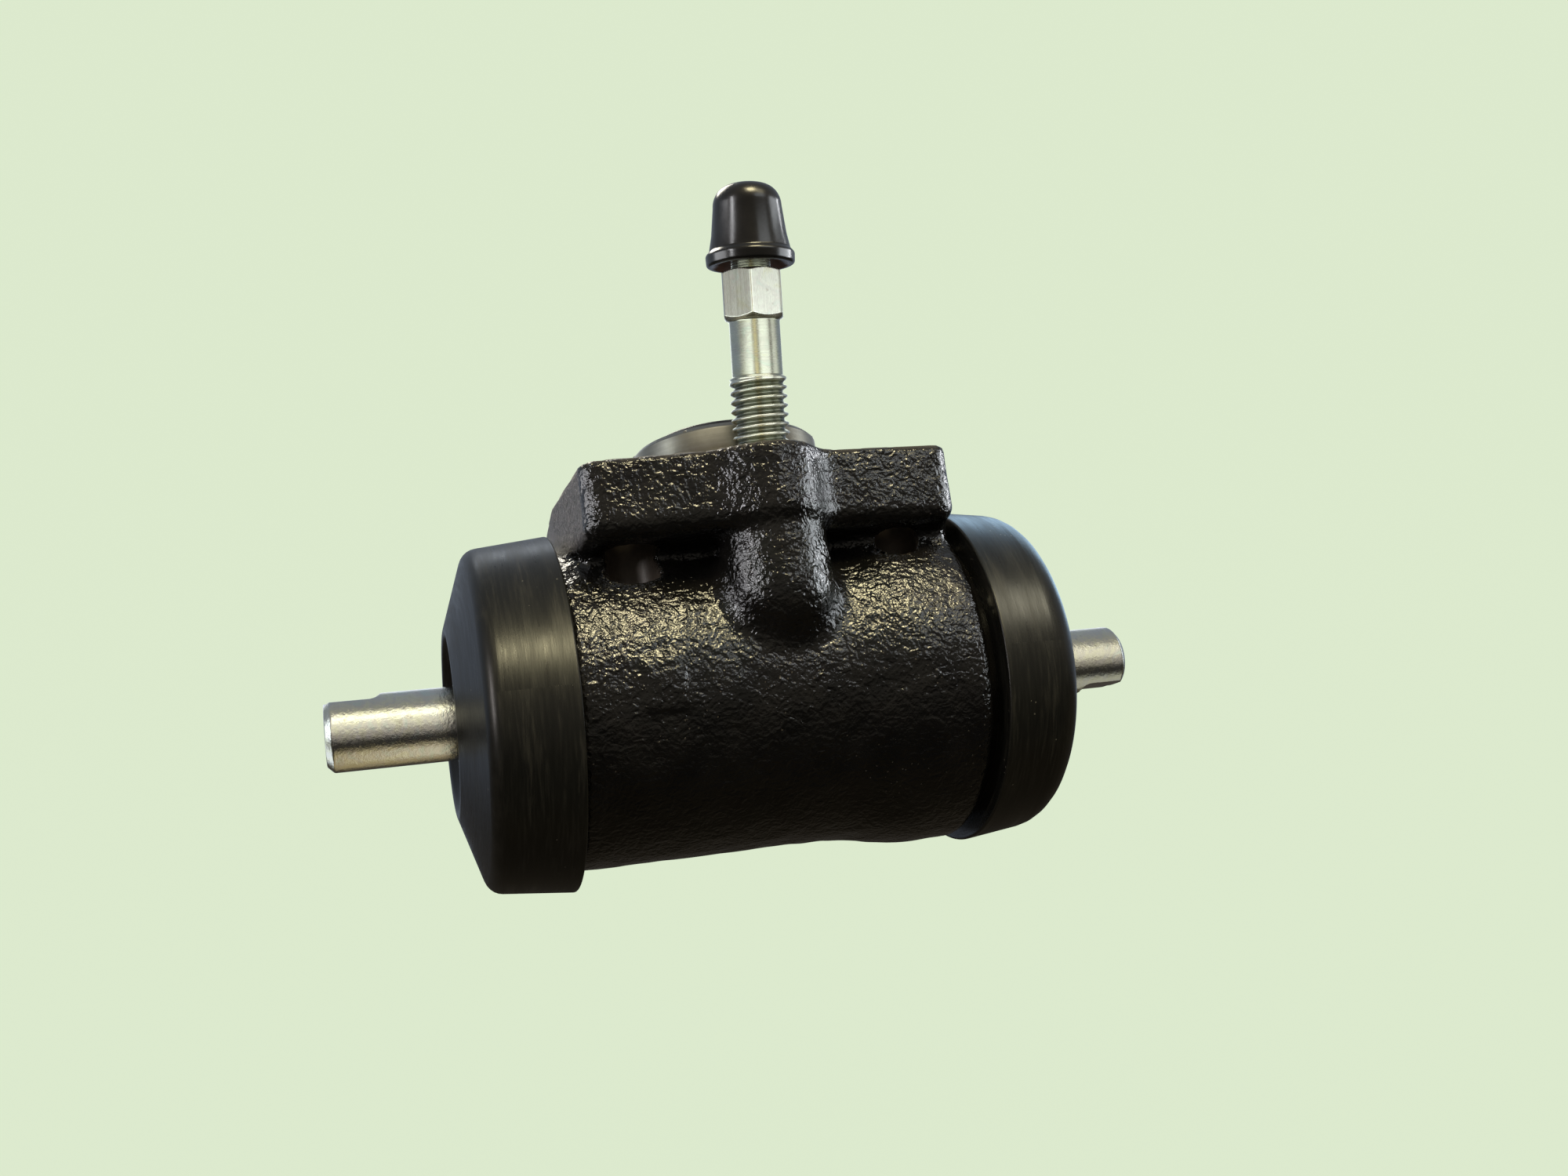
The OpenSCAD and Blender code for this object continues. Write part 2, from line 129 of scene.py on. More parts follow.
def turned(name, path, place, steps=160, closed=False, radius=None):
    # a profile carried round an axis: point = origin + along * axis + r * (u cos t + v sin t),
    # where r may also be a function of the turn and the place along the path
    origin, d, u, v = place
    t = np.linspace(0, 2 * math.pi, steps, endpoint=False)[None, :]
    along, r = path[:, :1] + 0 * t, path[:, 1:2] + 0 * t
    if radius is not None:
        r = radius(along, r, t + 0 * along)
    pts = (origin + along[..., None] * d + (r * np.cos(t))[..., None] * u + (r * np.sin(t))[..., None] * v)
    return makeMesh(name, pts.reshape(-1, 3), gridFaces(len(path), steps, closed))


def settle(piece, body, slot, *nodes):
    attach(piece, body)
    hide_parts(*nodes)
    return piece


# camera where the photo was taken from

camera = dict(place=(-0.0555152, -0.1982717, -0.0574788), lens=32.4,
              right=(0.95339718, -0.26933358, -0.13598988),
              up=(0.07252305, -0.23293621, 0.96978406),
              back=(-0.29287238, -0.93445179, -0.20254784))
camData = bpy.data.cameras.new("photoCamera")
camData.sensor_width = 36.0
camData.lens = camera["lens"]
camData.clip_start = 0.01
camData.clip_end = 20.0
camObject = bpy.data.objects.new("photoCamera", camData)
bpy.context.scene.collection.objects.link(camObject)
turn = Matrix((camera["right"], camera["up"], camera["back"])).transposed().to_4x4()
camObject.matrix_world = Matrix.Translation(camera["place"]) @ turn
bpy.context.scene.camera = camObject
print("camera set")


# housing: a casting described by its distance field, then skinned

casting = dict(cell=0.6, low=(-37.3, -28.6, -55.2), high=(37.3, 25.2, 8.2),
               barrel=22.2, collar=24.0, collarEnd=27.4, collarRound=1.9, leftEnd=-28.95, leftRound=0.6,
               taperFrom=6, taperLong=14, neck=21.0, groove=19.6, grooveFrom=32.2, grooveTo=34.6, end=36.5,
               bore=15.875, flangeDeep=11.0, flangeY=22.0, midX=27.6, edgeX=26.2, shift=0.7, cornerR=2.8,
               lowRound=2.4, topRound=0.7, flangeFillet=3.4,
               boltX=19.0, boltY=15.0, boltR=3.4, boltDeep=15.4,
               bossY=-19.8, bossR=7.6, bossFillet=2.6, webX=-22.9, webTurn=math.radians(215), webPast=2,
               noseY=-19.0, noseR=7.4, noseDeep=19.2, noseTop=-6.0, noseFillet=2.6, noseBlend=0.8,
               bleedR=4.0, bleedDeep=12.0, passageR=1.3, passageDeep=27.0, lean=math.radians(15),
               spigotR=13.9, spigotTop=7.2, spigotRoot=-4.0, inletR=4.5, inletDeep=4.5, inletPassageR=2.0,
               skinLump=0.16, skinFade=0.8, lumpLayers=((4.2, 3, 0.7), (2.1, 8, 0.45)),
               padX=-17.9, padZ=-30.4, padWide=1.7, padTall=2.9, padHigh=0.34, padRound=1.3, padSlope=0.8,
               padFront=-10)


def roundMax(a, b, r):
    # corner where two cuts meet, rounded by r
    return np.minimum(np.maximum(a, b), -r) + np.hypot(np.maximum(a + r, 0), np.maximum(b + r, 0))


def roundMin(a, b, r):
    # valley where two lumps meet, filled by a fillet of r
    return np.maximum(np.minimum(a, b), r) - np.hypot(np.maximum(r - a, 0), np.maximum(r - b, 0))


def lumps(x, y, z, size, seed):
    # smooth noise: random values on a lattice, blended between lattice points by 3t^2 - 2t^3
    table = np.random.default_rng(seed).uniform(-1, 1, (32, 32, 32))
    p = [c / size + 200.0 for c in (x, y, z)]
    i = [np.floor(c).astype(int) for c in p]
    f = [c - k for c, k in zip(p, i)]
    f = [c * c * (3 - 2 * c) for c in f]
    total = 0
    for cx, cy, cz in np.ndindex(2, 2, 2):
        w = (f[0] if cx else 1 - f[0]) * (f[1] if cy else 1 - f[1]) * (f[2] if cz else 1 - f[2])
        total = total + w * table[(i[0] + cx) % 32, (i[1] + cy) % 32, (i[2] + cz) % 32]
    return total


def drillings(x, y, z):
    # distance to the nearest drilled wall, negative inside a hole
    c = casting
    ax, ay = np.abs(x), np.abs(y)
    bolt = np.hypot(ax - c["boltX"], ay - c["boltY"]) - c["boltR"]
    bolt = np.maximum(bolt, -c["boltDeep"] - z - np.maximum(0, -bolt) * 0.5)
    s = (y - c["bossY"]) * -math.sin(c["lean"]) + z * math.cos(c["lean"])
    q = (y - c["bossY"]) * math.cos(c["lean"]) + z * math.sin(c["lean"])
    bleed = np.maximum(np.hypot(x, q) - c["bleedR"], -c["bleedDeep"] - s)
    passage = np.maximum(np.hypot(x, q) - c["passageR"], np.maximum(-c["passageDeep"] - s, s))
    inlet = np.maximum(np.hypot(x, y) - c["inletR"], -c["inletDeep"] - z)
    inlet = np.minimum(inlet, np.maximum(np.hypot(x, y) - c["inletPassageR"], np.maximum(boreZ - z, z)))
    return bolt, np.minimum(np.minimum(bleed, passage), inlet)


def pastEnds(x, y):
    # distance past the flange's two slanted ends
    c = casting
    slope = math.atan2(c["midX"] - c["edgeX"], c["flangeY"])
    return (np.abs(x - c["shift"]) - c["midX"]) * math.cos(slope) + np.abs(y) * math.sin(slope)


def castBody(x, y, z):
    # barrel, flange, boss and nose as they leave the mould
    c = casting
    rho = np.hypot(y, z - boreZ)
    t = ease(x, c["taperFrom"], c["taperLong"])
    wall = c["barrel"] + (c["collar"] - c["barrel"]) * (1 - np.cos(math.pi * t)) / 2
    barrel = roundMax(rho - wall, x - c["collarEnd"], c["collarRound"])
    barrel = roundMax(barrel, c["leftEnd"] - x, c["leftRound"])
    ay, side = np.abs(y), pastEnds(x, y)
    outline = roundMax(ay - c["flangeY"], side, c["cornerR"])
    boss = np.hypot(x, y - c["bossY"]) - c["bossR"]
    # the web's line runs from the left corner to a place on the boss
    meetX = c["bossR"] * math.cos(c["webTurn"])
    meetY = c["bossY"] + c["bossR"] * math.sin(c["webTurn"])
    tilt = math.atan2(-c["flangeY"] - meetY, meetX - c["webX"])
    web = -(x - meetX) * math.sin(tilt) - (y - meetY) * math.cos(tilt)
    web = np.maximum(web, x - meetX - c["webPast"])
    outline = np.minimum(outline, roundMax(np.where(y < 0, web, ay - c["flangeY"]), side, c["cornerR"]))
    outline = roundMin(outline, boss, c["bossFillet"])
    flange = roundMax(outline, -c["flangeDeep"] - z, c["lowRound"])
    flange = roundMax(flange, z, c["topRound"])
    flat = np.hypot(x, y - c["noseY"])
    nose = np.hypot(flat, np.minimum(z + c["noseDeep"], 0)) - c["noseR"]
    nose = np.maximum(nose, z - c["noseTop"])
    joined = np.minimum(roundMin(barrel, nose, c["noseFillet"]), roundMin(flange, nose, c["noseBlend"]))
    return np.minimum(roundMin(barrel, flange, c["flangeFillet"]), joined)


def housingField(x, y, z):
    # the casting with a slightly lumpy skin, its turned necks, and everything that is drilled or bored
    c = casting
    ax, rho = np.abs(x), np.hypot(y, z - boreZ)
    skin = sum(lumps(x, y, z, size, seed) * share for size, seed, share in c["lumpLayers"])
    skin = c["skinLump"] * skin * ease(-z, 0, c["skinFade"])
    # blank pad: raised inside a rounded rectangle on the front of the barrel
    away = np.hypot(np.maximum(np.abs(x - c["padX"]) - c["padWide"], 0),
                    np.maximum(np.abs(z - c["padZ"]) - c["padTall"], 0))
    rise = ease(-away, -c["padRound"], c["padSlope"])
    skin = skin - c["padHigh"] * rise * rise * (3 - 2 * rise) * (y < c["padFront"])
    body = castBody(x, y, z) + skin
    body = np.maximum(body, z)
    neckR = np.where((ax > c["grooveFrom"]) & (ax < c["grooveTo"]), c["groove"], c["neck"])
    neck = np.maximum(rho - neckR, ax - c["end"])
    spigot = np.maximum(np.hypot(x, y) - c["spigotR"], np.maximum(z - c["spigotTop"], c["spigotRoot"] - z))
    body = np.minimum(np.minimum(body, neck), spigot)
    bolt, other = drillings(x, y, z)
    body = np.maximum(body, np.maximum(-bolt, -other))
    return np.maximum(body, c["bore"] - rho)


def skinField(field, low, high, cell):
    # surface net: one point in every cell that the surface crosses, at the mean of its edge
    # crossings, and one quad round every lattice edge that changes sign
    axes = [np.arange(a, b + cell, cell) for a, b in zip(low, high)]
    d = field(*np.meshgrid(*axes, indexing="ij"))
    shape = tuple(n - 1 for n in d.shape)
    total, count = np.zeros(shape + (3,)), np.zeros(shape)
    whole = slice(0, -1), slice(1, None)
    for axis, a, b in np.ndindex(3, 2, 2):
        pick = [whole[0]] * 3
        others = [k for k in range(3) if k != axis]
        pick[others[0]], pick[others[1]] = whole[a], whole[b]
        d0 = d[tuple(pick)]
        pick[axis] = whole[1]
        d1 = d[tuple(pick)]
        cross = (d0 < 0) != (d1 < 0)
        total[..., axis] += np.where(cross, d0 / np.where(cross, d0 - d1, 1), 0)
        total[..., others[0]] += cross * a
        total[..., others[1]] += cross * b
        count += cross
    live = count > 0
    number = np.full(shape, -1)
    number[live] = np.arange(live.sum())
    at = np.argwhere(live)
    pts = (at + total[live] / count[live][:, None]) * cell + np.array([a[0] for a in axes])
    faces = []
    for axis in range(3):
        b, c = (axis + 1) % 3, (axis + 2) % 3
        lo = [slice(1, -1)] * 3
        lo[axis] = slice(0, -1)
        hi = list(lo)
        hi[axis] = slice(1, None)
        s0, s1 = d[tuple(lo)] < 0, d[tuple(hi)] < 0
        spots = np.argwhere(s0 != s1)
        flip = s1[s0 != s1]
        spots[:, b] += 1
        spots[:, c] += 1
        ring = []
        for db, dc in ((1, 1), (0, 1), (0, 0), (1, 0)):
            q = spots.copy()
            q[:, b] -= db
            q[:, c] -= dc
            ring.append(number[q[:, 0], q[:, 1], q[:, 2]])
        quad = np.stack(ring, 1)
        quad[flip] = quad[flip][:, ::-1]
        faces.append(quad)
    return pts, np.concatenate(faces)


def ontoSurface(field, pts, rounds, e=0.02, longest=0.3):
    # Newton steps along the field's slope, measured over e either side, bring the points onto the
    # surface itself; no step is longer than longest
    for _ in range(rounds):
        x, y, z = pts.T
        d = field(x, y, z)
        g = np.stack([field(x + e, y, z) - field(x - e, y, z), field(x, y + e, z) - field(x, y - e, z),
                      field(x, y, z + e) - field(x, y, z - e)], 1) / (2 * e)
        step = g * (d / np.maximum((g * g).sum(1), 0.25))[:, None]
        pts = pts - np.clip(step, -longest, longest)
    return pts


# where the casting is drilled, machined or torn
finish = dict(wall=0.25, under=0.2, facedFrom=-0.16, boreWall=0.3, neckFrom=29.2, collarFace=0.25,
              planeFrom=-0.42, planeRun=0.3, tornFrom=-0.55, tornRun=0.3, tornLow=-10.2, tornY=19.4, tornFade=0.8,
              tornX=29)
skinPoints, skinFaces = skinField(housingField, casting["low"], casting["high"], casting["cell"])
skinPoints = ontoSurface(housingField, skinPoints, 4)
housing = makeMesh("housing_casting", skinPoints, skinFaces, tidy=False)
px, py, pz = skinPoints.T
k = finish
boltWall, otherWall = drillings(px, py, pz)
drilled = (np.abs(boltWall) < k["wall"]) | (np.abs(otherWall) < k["wall"])
drilled = drilled & (castBody(px, py, pz) < -k["under"])
faced = (pz > k["facedFrom"]) | (np.hypot(py, pz - boreZ) < casting["bore"] + k["boreWall"])
necked = (np.abs(px) > k["neckFrom"]) | (px > casting["collarEnd"] + k["collarFace"])
planed = ease(pz, k["planeFrom"], k["planeRun"])
bare = np.maximum(drilled | faced, planed)
smooth = np.clip(bare + necked, 0, 1)
sheared = ease(pastEnds(px, py), k["tornFrom"], k["tornRun"])
sheared = sheared * ease(pz, k["tornLow"], k["tornFade"])
sheared = sheared * ease(-np.abs(py), -k["tornY"], k["tornFade"]) * (np.abs(px) < k["tornX"])
for key, values in (("bareMetal", bare), ("turnedFace", smooth), ("shearedSide", sheared), ("facedTop", planed)):
    layer = housing.data.attributes.new(key, "FLOAT", "POINT")
    layer.data.foreach_set("value", values.astype(np.float32))
settle(housing, "body", "painted_casting", "housing")
print("housing:", len(skinPoints), "points", len(skinFaces), "quads")

spigot = dict(r=14.0, top=7.5, chamfer=0.7, corner=0.25, bore=4.5, lead=0.4, leadDeep=0.5, floor=-0.4, inner=13.2,
              foot=1.0)
k = spigot
spigotPath = roundedPath([(k["floor"], k["inner"], 0), (k["floor"], k["r"], 0),
                          (k["top"] - k["chamfer"], k["r"], k["corner"]),
                          (k["top"], k["r"] - k["chamfer"], k["corner"]),
                          (k["top"], k["bore"] + k["lead"], 0.2), (k["top"] - k["leadDeep"], k["bore"], 0.1),
                          (k["foot"], k["bore"], 0)])
spigotPiece = turned("housing_spigot", np.concatenate([spigotPath, [[k["foot"], k["inner"]]]]),
                     axisFrame((0, 0, 0), (0, 0, 1)), 220, closed=True)
settle(spigotPiece, "body", "painted_casting", "housing")


# dust boots

boot = dict(lip=29.0, lipR=24.9, endR=23.64, neck=21.03, groove=19.63, grooveFrom=32.2, grooveTo=34.6, grooveSide=0.15,
            shoulder=40.35, rim=43.94, rimR=12.5, fold=(40.1, 9.0), foldFoot=(39.75, 7.7),
            sleeveFrom=38.2, sleeveTo=41.6, sleeveIn=5.45, sleeveOut=7.2, foldBack=9.3,
            rimInside=((40.86, 12.3), (41.46, 13.6)), shoulderInside=(37.9, 20.6), skirtInside=36.8)


def bootPath(shoulderR):
    # skirt, rounded shoulder, sloping face, rim, fold and sleeve as one closed outline
    b = boot
    rimLow, rimHigh = b["rimInside"]
    outside = [(b["lip"], b["neck"], 0), (b["lip"], b["neck"] + 0.01, 0), (b["lip"], b["lipR"], 0.3),
               (b["shoulder"], b["endR"], shoulderR), (b["rim"], b["rimR"], 1.1), (*b["fold"], 0.9),
               (*b["foldFoot"], 0.5), (b["sleeveTo"], b["sleeveOut"], 0.6)]
    inside = [(b["sleeveTo"], b["sleeveIn"], 0.5), (b["sleeveFrom"], b["sleeveIn"], 0.2),
              (b["sleeveFrom"], b["foldBack"], 0.6), (*rimLow, 0.8), (*rimHigh, 0.6), (*b["shoulderInside"], 0.8),
              (b["skirtInside"], b["neck"], 0.3), (b["grooveTo"], b["neck"], 0.1),
              (b["grooveTo"] - b["grooveSide"], b["groove"], 0.2),
              (b["grooveFrom"] + b["grooveSide"], b["groove"], 0.2), (b["grooveFrom"], b["neck"], 0)]
    return roundedPath(outside + inside)


boots = []
for side, name, shoulderR in ((-1, "left", 2.4), (1, "right", 5.0)):
    path = bootPath(shoulderR)
    piece = turned(name + "_boot_rubber", path, axisFrame((0, 0, boreZ), (side, 0, 0)), 220, closed=True)
    boots.append(settle(piece, "body", "boot_rubber", name + "_dust_boot"))
print("boots made")


# push rods, each with one milled flat

rod = dict(r=5.1, guide=5.4, step=42.4, seat=20.7, cone=23.1, tip=59.6, chamfer=0.9, tipRings=(3.9, 3.7),
           flatFrom=53.6, flatDeep=1.1, cutter=1.6, fineFrom=1.9, fineTo=1.4, fineSteps=44)


def rodFlat(along, r, t):
    # the flat leaves r at most h / cos(t); behind it the cutter's round lifts h again
    k = rod
    h = np.full_like(along, 50.0)
    run = np.clip(k["flatFrom"] - along, 0, k["cutter"])
    level = k["r"] - k["flatDeep"] + k["cutter"] - np.sqrt(k["cutter"] ** 2 - run ** 2)
    h = np.where(along > k["flatFrom"] - k["cutter"] * 0.98, level, h)
    face = np.cos(t)
    return np.where(face > 0.05, np.minimum(r, h / np.maximum(face, 0.05)), r)


k = rod
rodPath = roundedPath([(k["seat"], 0, 0), (k["cone"], k["guide"], 0.2), (k["step"], k["guide"], 0.08),
                       (k["step"], k["r"], 0.08), (k["tip"] - k["chamfer"], k["r"], 0.5),
                       (k["tip"], k["r"] - k["chamfer"], 0.35)]
                      + [(k["tip"], r, 0) for r in (*k["tipRings"], 0)])
# close rings along the flat, so that its edge is crisp
fine = np.linspace(k["flatFrom"] - k["fineFrom"], k["tip"] - k["fineTo"], k["fineSteps"])
rodPath = np.concatenate([rodPath[rodPath[:, 0] < fine[0]], np.stack([fine, fine * 0 + k["r"]], 1),
                          rodPath[rodPath[:, 0] > fine[-1]]])
rods = []
for side, name in ((-1, "left"), (1, "right")):
    place = [np.array(v, float) for v in ((settled, 0, boreZ), (side, 0, 0), (0, 0, -side), (0, 1, 0))]
    piece = turned(name + "_rod_steel", rodPath, place, 240, radius=rodFlat)
    rods.append(settle(piece, name + "_rod_body", "zinc_plate", name + "_push_rod"))
print("rods made")


# return spring in two halves that meet at mid bore

spring = dict(r=9.0, wire=0.8, turns=5, half=11.2, steps=110, sides=16)


def springHalf(side):
    # tube about a helix: angle grows by 2 pi * turns over the length; cut square at mid bore and
    # at the end
    k = spring
    s = np.linspace(-k["wire"], k["half"] + k["wire"], k["steps"])[:, None] * side
    t = np.linspace(0, 2 * math.pi, k["sides"], endpoint=False)[None, :]
    pitch = 2 * k["half"] / k["turns"]
    lead = math.hypot(pitch, 2 * math.pi * k["r"])
    angle = 2 * math.pi * (s + k["half"]) / pitch - k["wire"] * np.sin(t) * pitch / lead / k["r"]
    r = k["r"] + k["wire"] * np.cos(t)
    x = s + k["wire"] * np.sin(t) * 2 * math.pi * k["r"] / lead
    x = np.clip(x * side, 0, k["half"]) * side + settled
    pts = np.stack([x, r * np.sin(angle), boreZ - r * np.cos(angle)], -1)
    return pts.reshape(-1, 3), gridFaces(len(s), k["sides"], False)


springs = []
for side, name in ((-1, "left"), (1, "right")):
    piece = makeMesh(name + "_spring_half", *springHalf(side))
    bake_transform(piece)
    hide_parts("return_spring")
    springs.append(piece)
print("spring made")


# bleed screw: one surface r(turn, along) with a helical thread and a hexagon

bleed = dict(base=(0, -19.8, 0), lean=math.radians(15), seatLow=-13.4, seatR=1.6, seatTop=-11.8, seatWide=2.95,
             undercut=(-11.4, -9.8), undercutR=3.15, crest=3.95, deep=0.62, pitch=1.25, ridgeSteep=1.25, ridgeFlat=0.12,
             threadFrom=-9.0, threadTo=10.6, fadeIn=0.8, fadeOut=0.9, threadSteps=240,
             shank=3.5, shankFrom=10.9, shankTo=18.4, hexFrom=18.7, hexTo=25.3, hexAcross=8.0, hexTurn=math.radians(42),
             hexLow=3.76, hexMid=3.9, hexHigh=3.7, bevelIn=0.12, bevelSlope=1.75, neck=2.75, neckTo=31.3, neckRings=6,
             ringStep=0.3, ringDeep=0.14, barb=3.05, barbFrom=31.5, top=33.9, mouth=2.1, drill=1.0, drillTo=12.0)
bleedAxis = (0, -math.sin(bleed["lean"]), math.cos(bleed["lean"]))
bleedPlace = (np.array(bleed["base"], float), np.array(bleedAxis), np.array((1.0, 0, 0)),
              np.array((0, math.cos(bleed["lean"]), math.sin(bleed["lean"]))))


def screwRadius(along, r, t):
    # thread: a rounded ridge that climbs one pitch a turn; hexagon: half across / cos of the angle
    # from the nearest flat, trimmed by a cone at both ends
    k = bleed
    phase = (along / k["pitch"] - t / (2 * math.pi)) % 1.0
    ridge = np.clip(np.abs(phase - 0.5) * 2 * k["ridgeSteep"] - k["ridgeFlat"], 0, 1)
    ridge = ridge * ridge * (3 - 2 * ridge)
    fade = ease(along, k["threadFrom"], k["fadeIn"]) * ease(-along, -k["threadTo"], k["fadeOut"])
    inThread = (along >= k["threadFrom"]) & (along <= k["threadTo"]) & (r > k["undercutR"] + 0.15)
    r = np.where(inThread, k["crest"] - k["deep"] * ridge * fade, r)
    inHex = (along >= k["hexFrom"] - 0.001) & (along <= k["hexTo"] + 0.001) & (r > k["hexAcross"] / 2 - 0.25)
    near = (t - k["hexTurn"] + math.pi / 6) % (math.pi / 3) - math.pi / 6
    flat = k["hexAcross"] / 2 / np.cos(near)
    edge = np.minimum(along - k["hexFrom"], k["hexTo"] - along)
    bevel = k["hexAcross"] / 2 - k["bevelIn"] + np.maximum(edge, 0) * k["bevelSlope"]
    return np.where(inHex, np.minimum(flat, bevel), r)


def screwPath():
    # outline from the seat cone up to the nipple's mouth and down its drilling
    k = bleed
    low = roundedPath([(k["seatLow"], 0, 0), (k["seatLow"], k["seatR"], 0.1), (k["seatTop"], k["seatWide"], 0.2)]
                      + [(at, k["undercutR"], r) for at, r in zip(k["undercut"], (0.2, 0.1))]
                      + [(k["threadFrom"], k["crest"] - 0.02, 0)])
    thread = np.linspace(k["threadFrom"], k["threadTo"], k["threadSteps"])
    thread = np.stack([thread, thread * 0 + k["crest"]], 1)
    shank = roundedPath([(k["threadTo"], k["crest"], 0), (k["shankFrom"], k["shank"], 0.15),
                         (k["shankTo"], k["shank"], 0.3), (k["hexFrom"], k["hexLow"], 0)])
    # rings of the hexagon lie close at its two bevels
    hexa = np.concatenate([np.linspace(0, 0.5, 7), np.linspace(0.6, 6.0, 9), np.linspace(6.1, 6.6, 7)]) + k["hexFrom"]
    hexa = np.stack([hexa, hexa * 0 + k["hexMid"]], 1)
    rings = [(k["hexTo"] + 0.22 + k["ringStep"] * (i + j / 2), k["neck"] - k["ringDeep"] * j, 0.04)
             for i in range(k["neckRings"]) for j in (0, 1)]
    neck = roundedPath([(k["hexTo"], k["hexHigh"], 0), (k["hexTo"], k["neck"], 0.1)] + rings + [
                        (k["neckTo"], k["neck"] - 0.05, 0.1), (k["barbFrom"], k["barb"], 0.1),
                        (k["top"], k["mouth"], 0.3), (k["top"], k["drill"] + 0.2, 0.1),
                        (k["top"] - 0.3, k["drill"], 0.1), (k["drillTo"], k["drill"], 0), (k["drillTo"] - 0.4, 0, 0)])
    return np.concatenate([low, thread, shank, hexa, neck])


screw = turned("bleed_screw_zinc", screwPath(), bleedPlace, 144, radius=screwRadius)
settle(screw, "bleed_screw_body", "zinc_plate", "bleed_screw")

cap = dict(base=26.0, hollow=1.5, brimR=6.2, brimHigh=1.5, bodyR=5.2, flare=0.42, flareTo=4.2, topShare=0.91,
           crown=37.17, domeHigh=3.2, domePower=0.62, hole=3.08, ceiling=34.3)


def capPath():
    # brim with a rolled edge, waist, slightly tapered body, domed crown and the blind hole
    k = cap
    t = np.linspace(0, math.pi / 2, 16)
    foot, footR = k["crown"] - k["domeHigh"], k["bodyR"] * k["topShare"]
    dome = np.stack([foot + k["domeHigh"] * np.sin(t), footR * np.cos(t) ** k["domePower"]], 1)
    dome[-1, 1] = 0
    base, top = k["base"], k["base"] + k["hollow"]
    skirt = roundedPath([(top + 0.4, k["hole"], 0), (top, k["hole"] + 0.35, 0.2), (base, k["brimR"] - 0.95, 0.3),
                         (base + 0.02, k["brimR"] - 0.12, 0.5), (base + k["brimHigh"], k["brimR"] - 0.05, 0.55),
                         (base + k["brimHigh"] + 0.6, k["bodyR"] + k["flare"], 0.5),
                         (base + k["flareTo"], k["bodyR"] - 0.02, 3.0), (foot, footR, 0)])
    hole = roundedPath([(k["ceiling"], 0, 0), (k["ceiling"], k["hole"] - 0.4, 0.3),
                        (k["ceiling"] - 0.8, k["hole"], 0.2), (top + 0.4, k["hole"], 0)])
    return np.concatenate([skirt, dome[1:], hole[:-1]])


capOuter = turned("bleed_cap_rubber", capPath(), bleedPlace, 128, closed=True)
settle(capOuter, "bleed_cap_body", "cap_rubber", "bleed_cap")
print("bleed screw and cap made")

plug = dict(stem=4.47, point=0.8, seat=7.55, low=-0.45, headR=10.92, thick=1.25, dishR=(6.2, 5.8), dishDeep=0.35)
k = plug
plugTop = k["seat"] + k["thick"]
plugPath = roundedPath([(k["low"], 0, 0), (k["low"], k["stem"] - k["point"], 0.2),
                        (k["low"] + k["point"], k["stem"], 0.3), (k["seat"], k["stem"], 0),
                        (k["seat"], k["headR"], 0.35), (plugTop, k["headR"] - 0.1, 0.45),
                        (plugTop, k["dishR"][0], 0.2), (plugTop - k["dishDeep"], k["dishR"][1], 0.2),
                        (plugTop - k["dishDeep"], 0, 0)])
plugPiece = turned("inlet_plug_moulding", plugPath, axisFrame((0, 0, 0), (0, 0, 1)), 128)
settle(plugPiece, "inlet_plug_body", "plug_plastic", "inlet_plug")


# materials: shared effects are node groups, shaders stay in each material

def add(tree, kind, **values):
    node = tree.nodes.new(kind)
    for key, value in values.items():
        setattr(node, key, value)
    return node


def connect(tree, value, socket):
    # a plain number or triple is set on the socket, anything else is linked to it
    if isinstance(value, (int, float)):
        socket.default_value = value
    elif isinstance(value, tuple):
        socket.default_value = (*value, 1) if socket.type == "RGBA" else value
    else:
        tree.links.new(value, socket)


def newGroup(name, inputs, outputs):
    group = bpy.data.node_groups.new(name, "ShaderNodeTree")
    for label, value in inputs.items():
        kind = "NodeSocketVector" if value is None else "NodeSocketFloat"
        socket = group.interface.new_socket(name=label, in_out="INPUT", socket_type=kind)
        if value is not None:
            socket.default_value = value
    for label in outputs:
        group.interface.new_socket(name=label, in_out="OUTPUT", socket_type="NodeSocketFloat")
    return group, add(group, "NodeGroupInput").outputs, add(group, "NodeGroupOutput").inputs


def math2(tree, operation, a, b=None):
    node = add(tree, "ShaderNodeMath", operation=operation)
    for socket, value in zip(node.inputs, (a, b)):
        if value is not None:
            connect(tree, value, socket)
    return node.outputs[0]


def times(tree, a, b):
    return math2(tree, "MULTIPLY", a, b)


def weighed(tree, *pairs):
    # the sum of some values, each times its share
    total = times(tree, *pairs[0])
    for pair in pairs[1:]:
        total = math2(tree, "ADD", total, times(tree, *pair))
    return total


def vector2(tree, operation, *values):
    node = add(tree, "ShaderNodeVectorMath", operation=operation)
    for socket, value in zip(node.inputs, values):
        connect(tree, value, socket)
    return node.outputs["Value" if operation in ("LENGTH", "DOT_PRODUCT") else "Vector"]


def alongAxis(tree, vector, origin, axis):
    # distance along an axis
    return vector2(tree, "DOT_PRODUCT", vector2(tree, "SUBTRACT", vector, origin), axis)


def fromAxis(tree, vector, origin, axis):
    # distance from an axis
    return vector2(tree, "LENGTH", vector2(tree, "CROSS_PRODUCT", vector2(tree, "SUBTRACT", vector, origin), axis))


def noise(tree, vector, scale, detail=2.0, rough=0.5, distortion=0.0):
    node = add(tree, "ShaderNodeTexNoise")
    for label, value in dict(Vector=vector, Scale=scale, Detail=detail, Roughness=rough, Distortion=distortion).items():
        connect(tree, value, node.inputs[label])
    return node.outputs["Fac"]


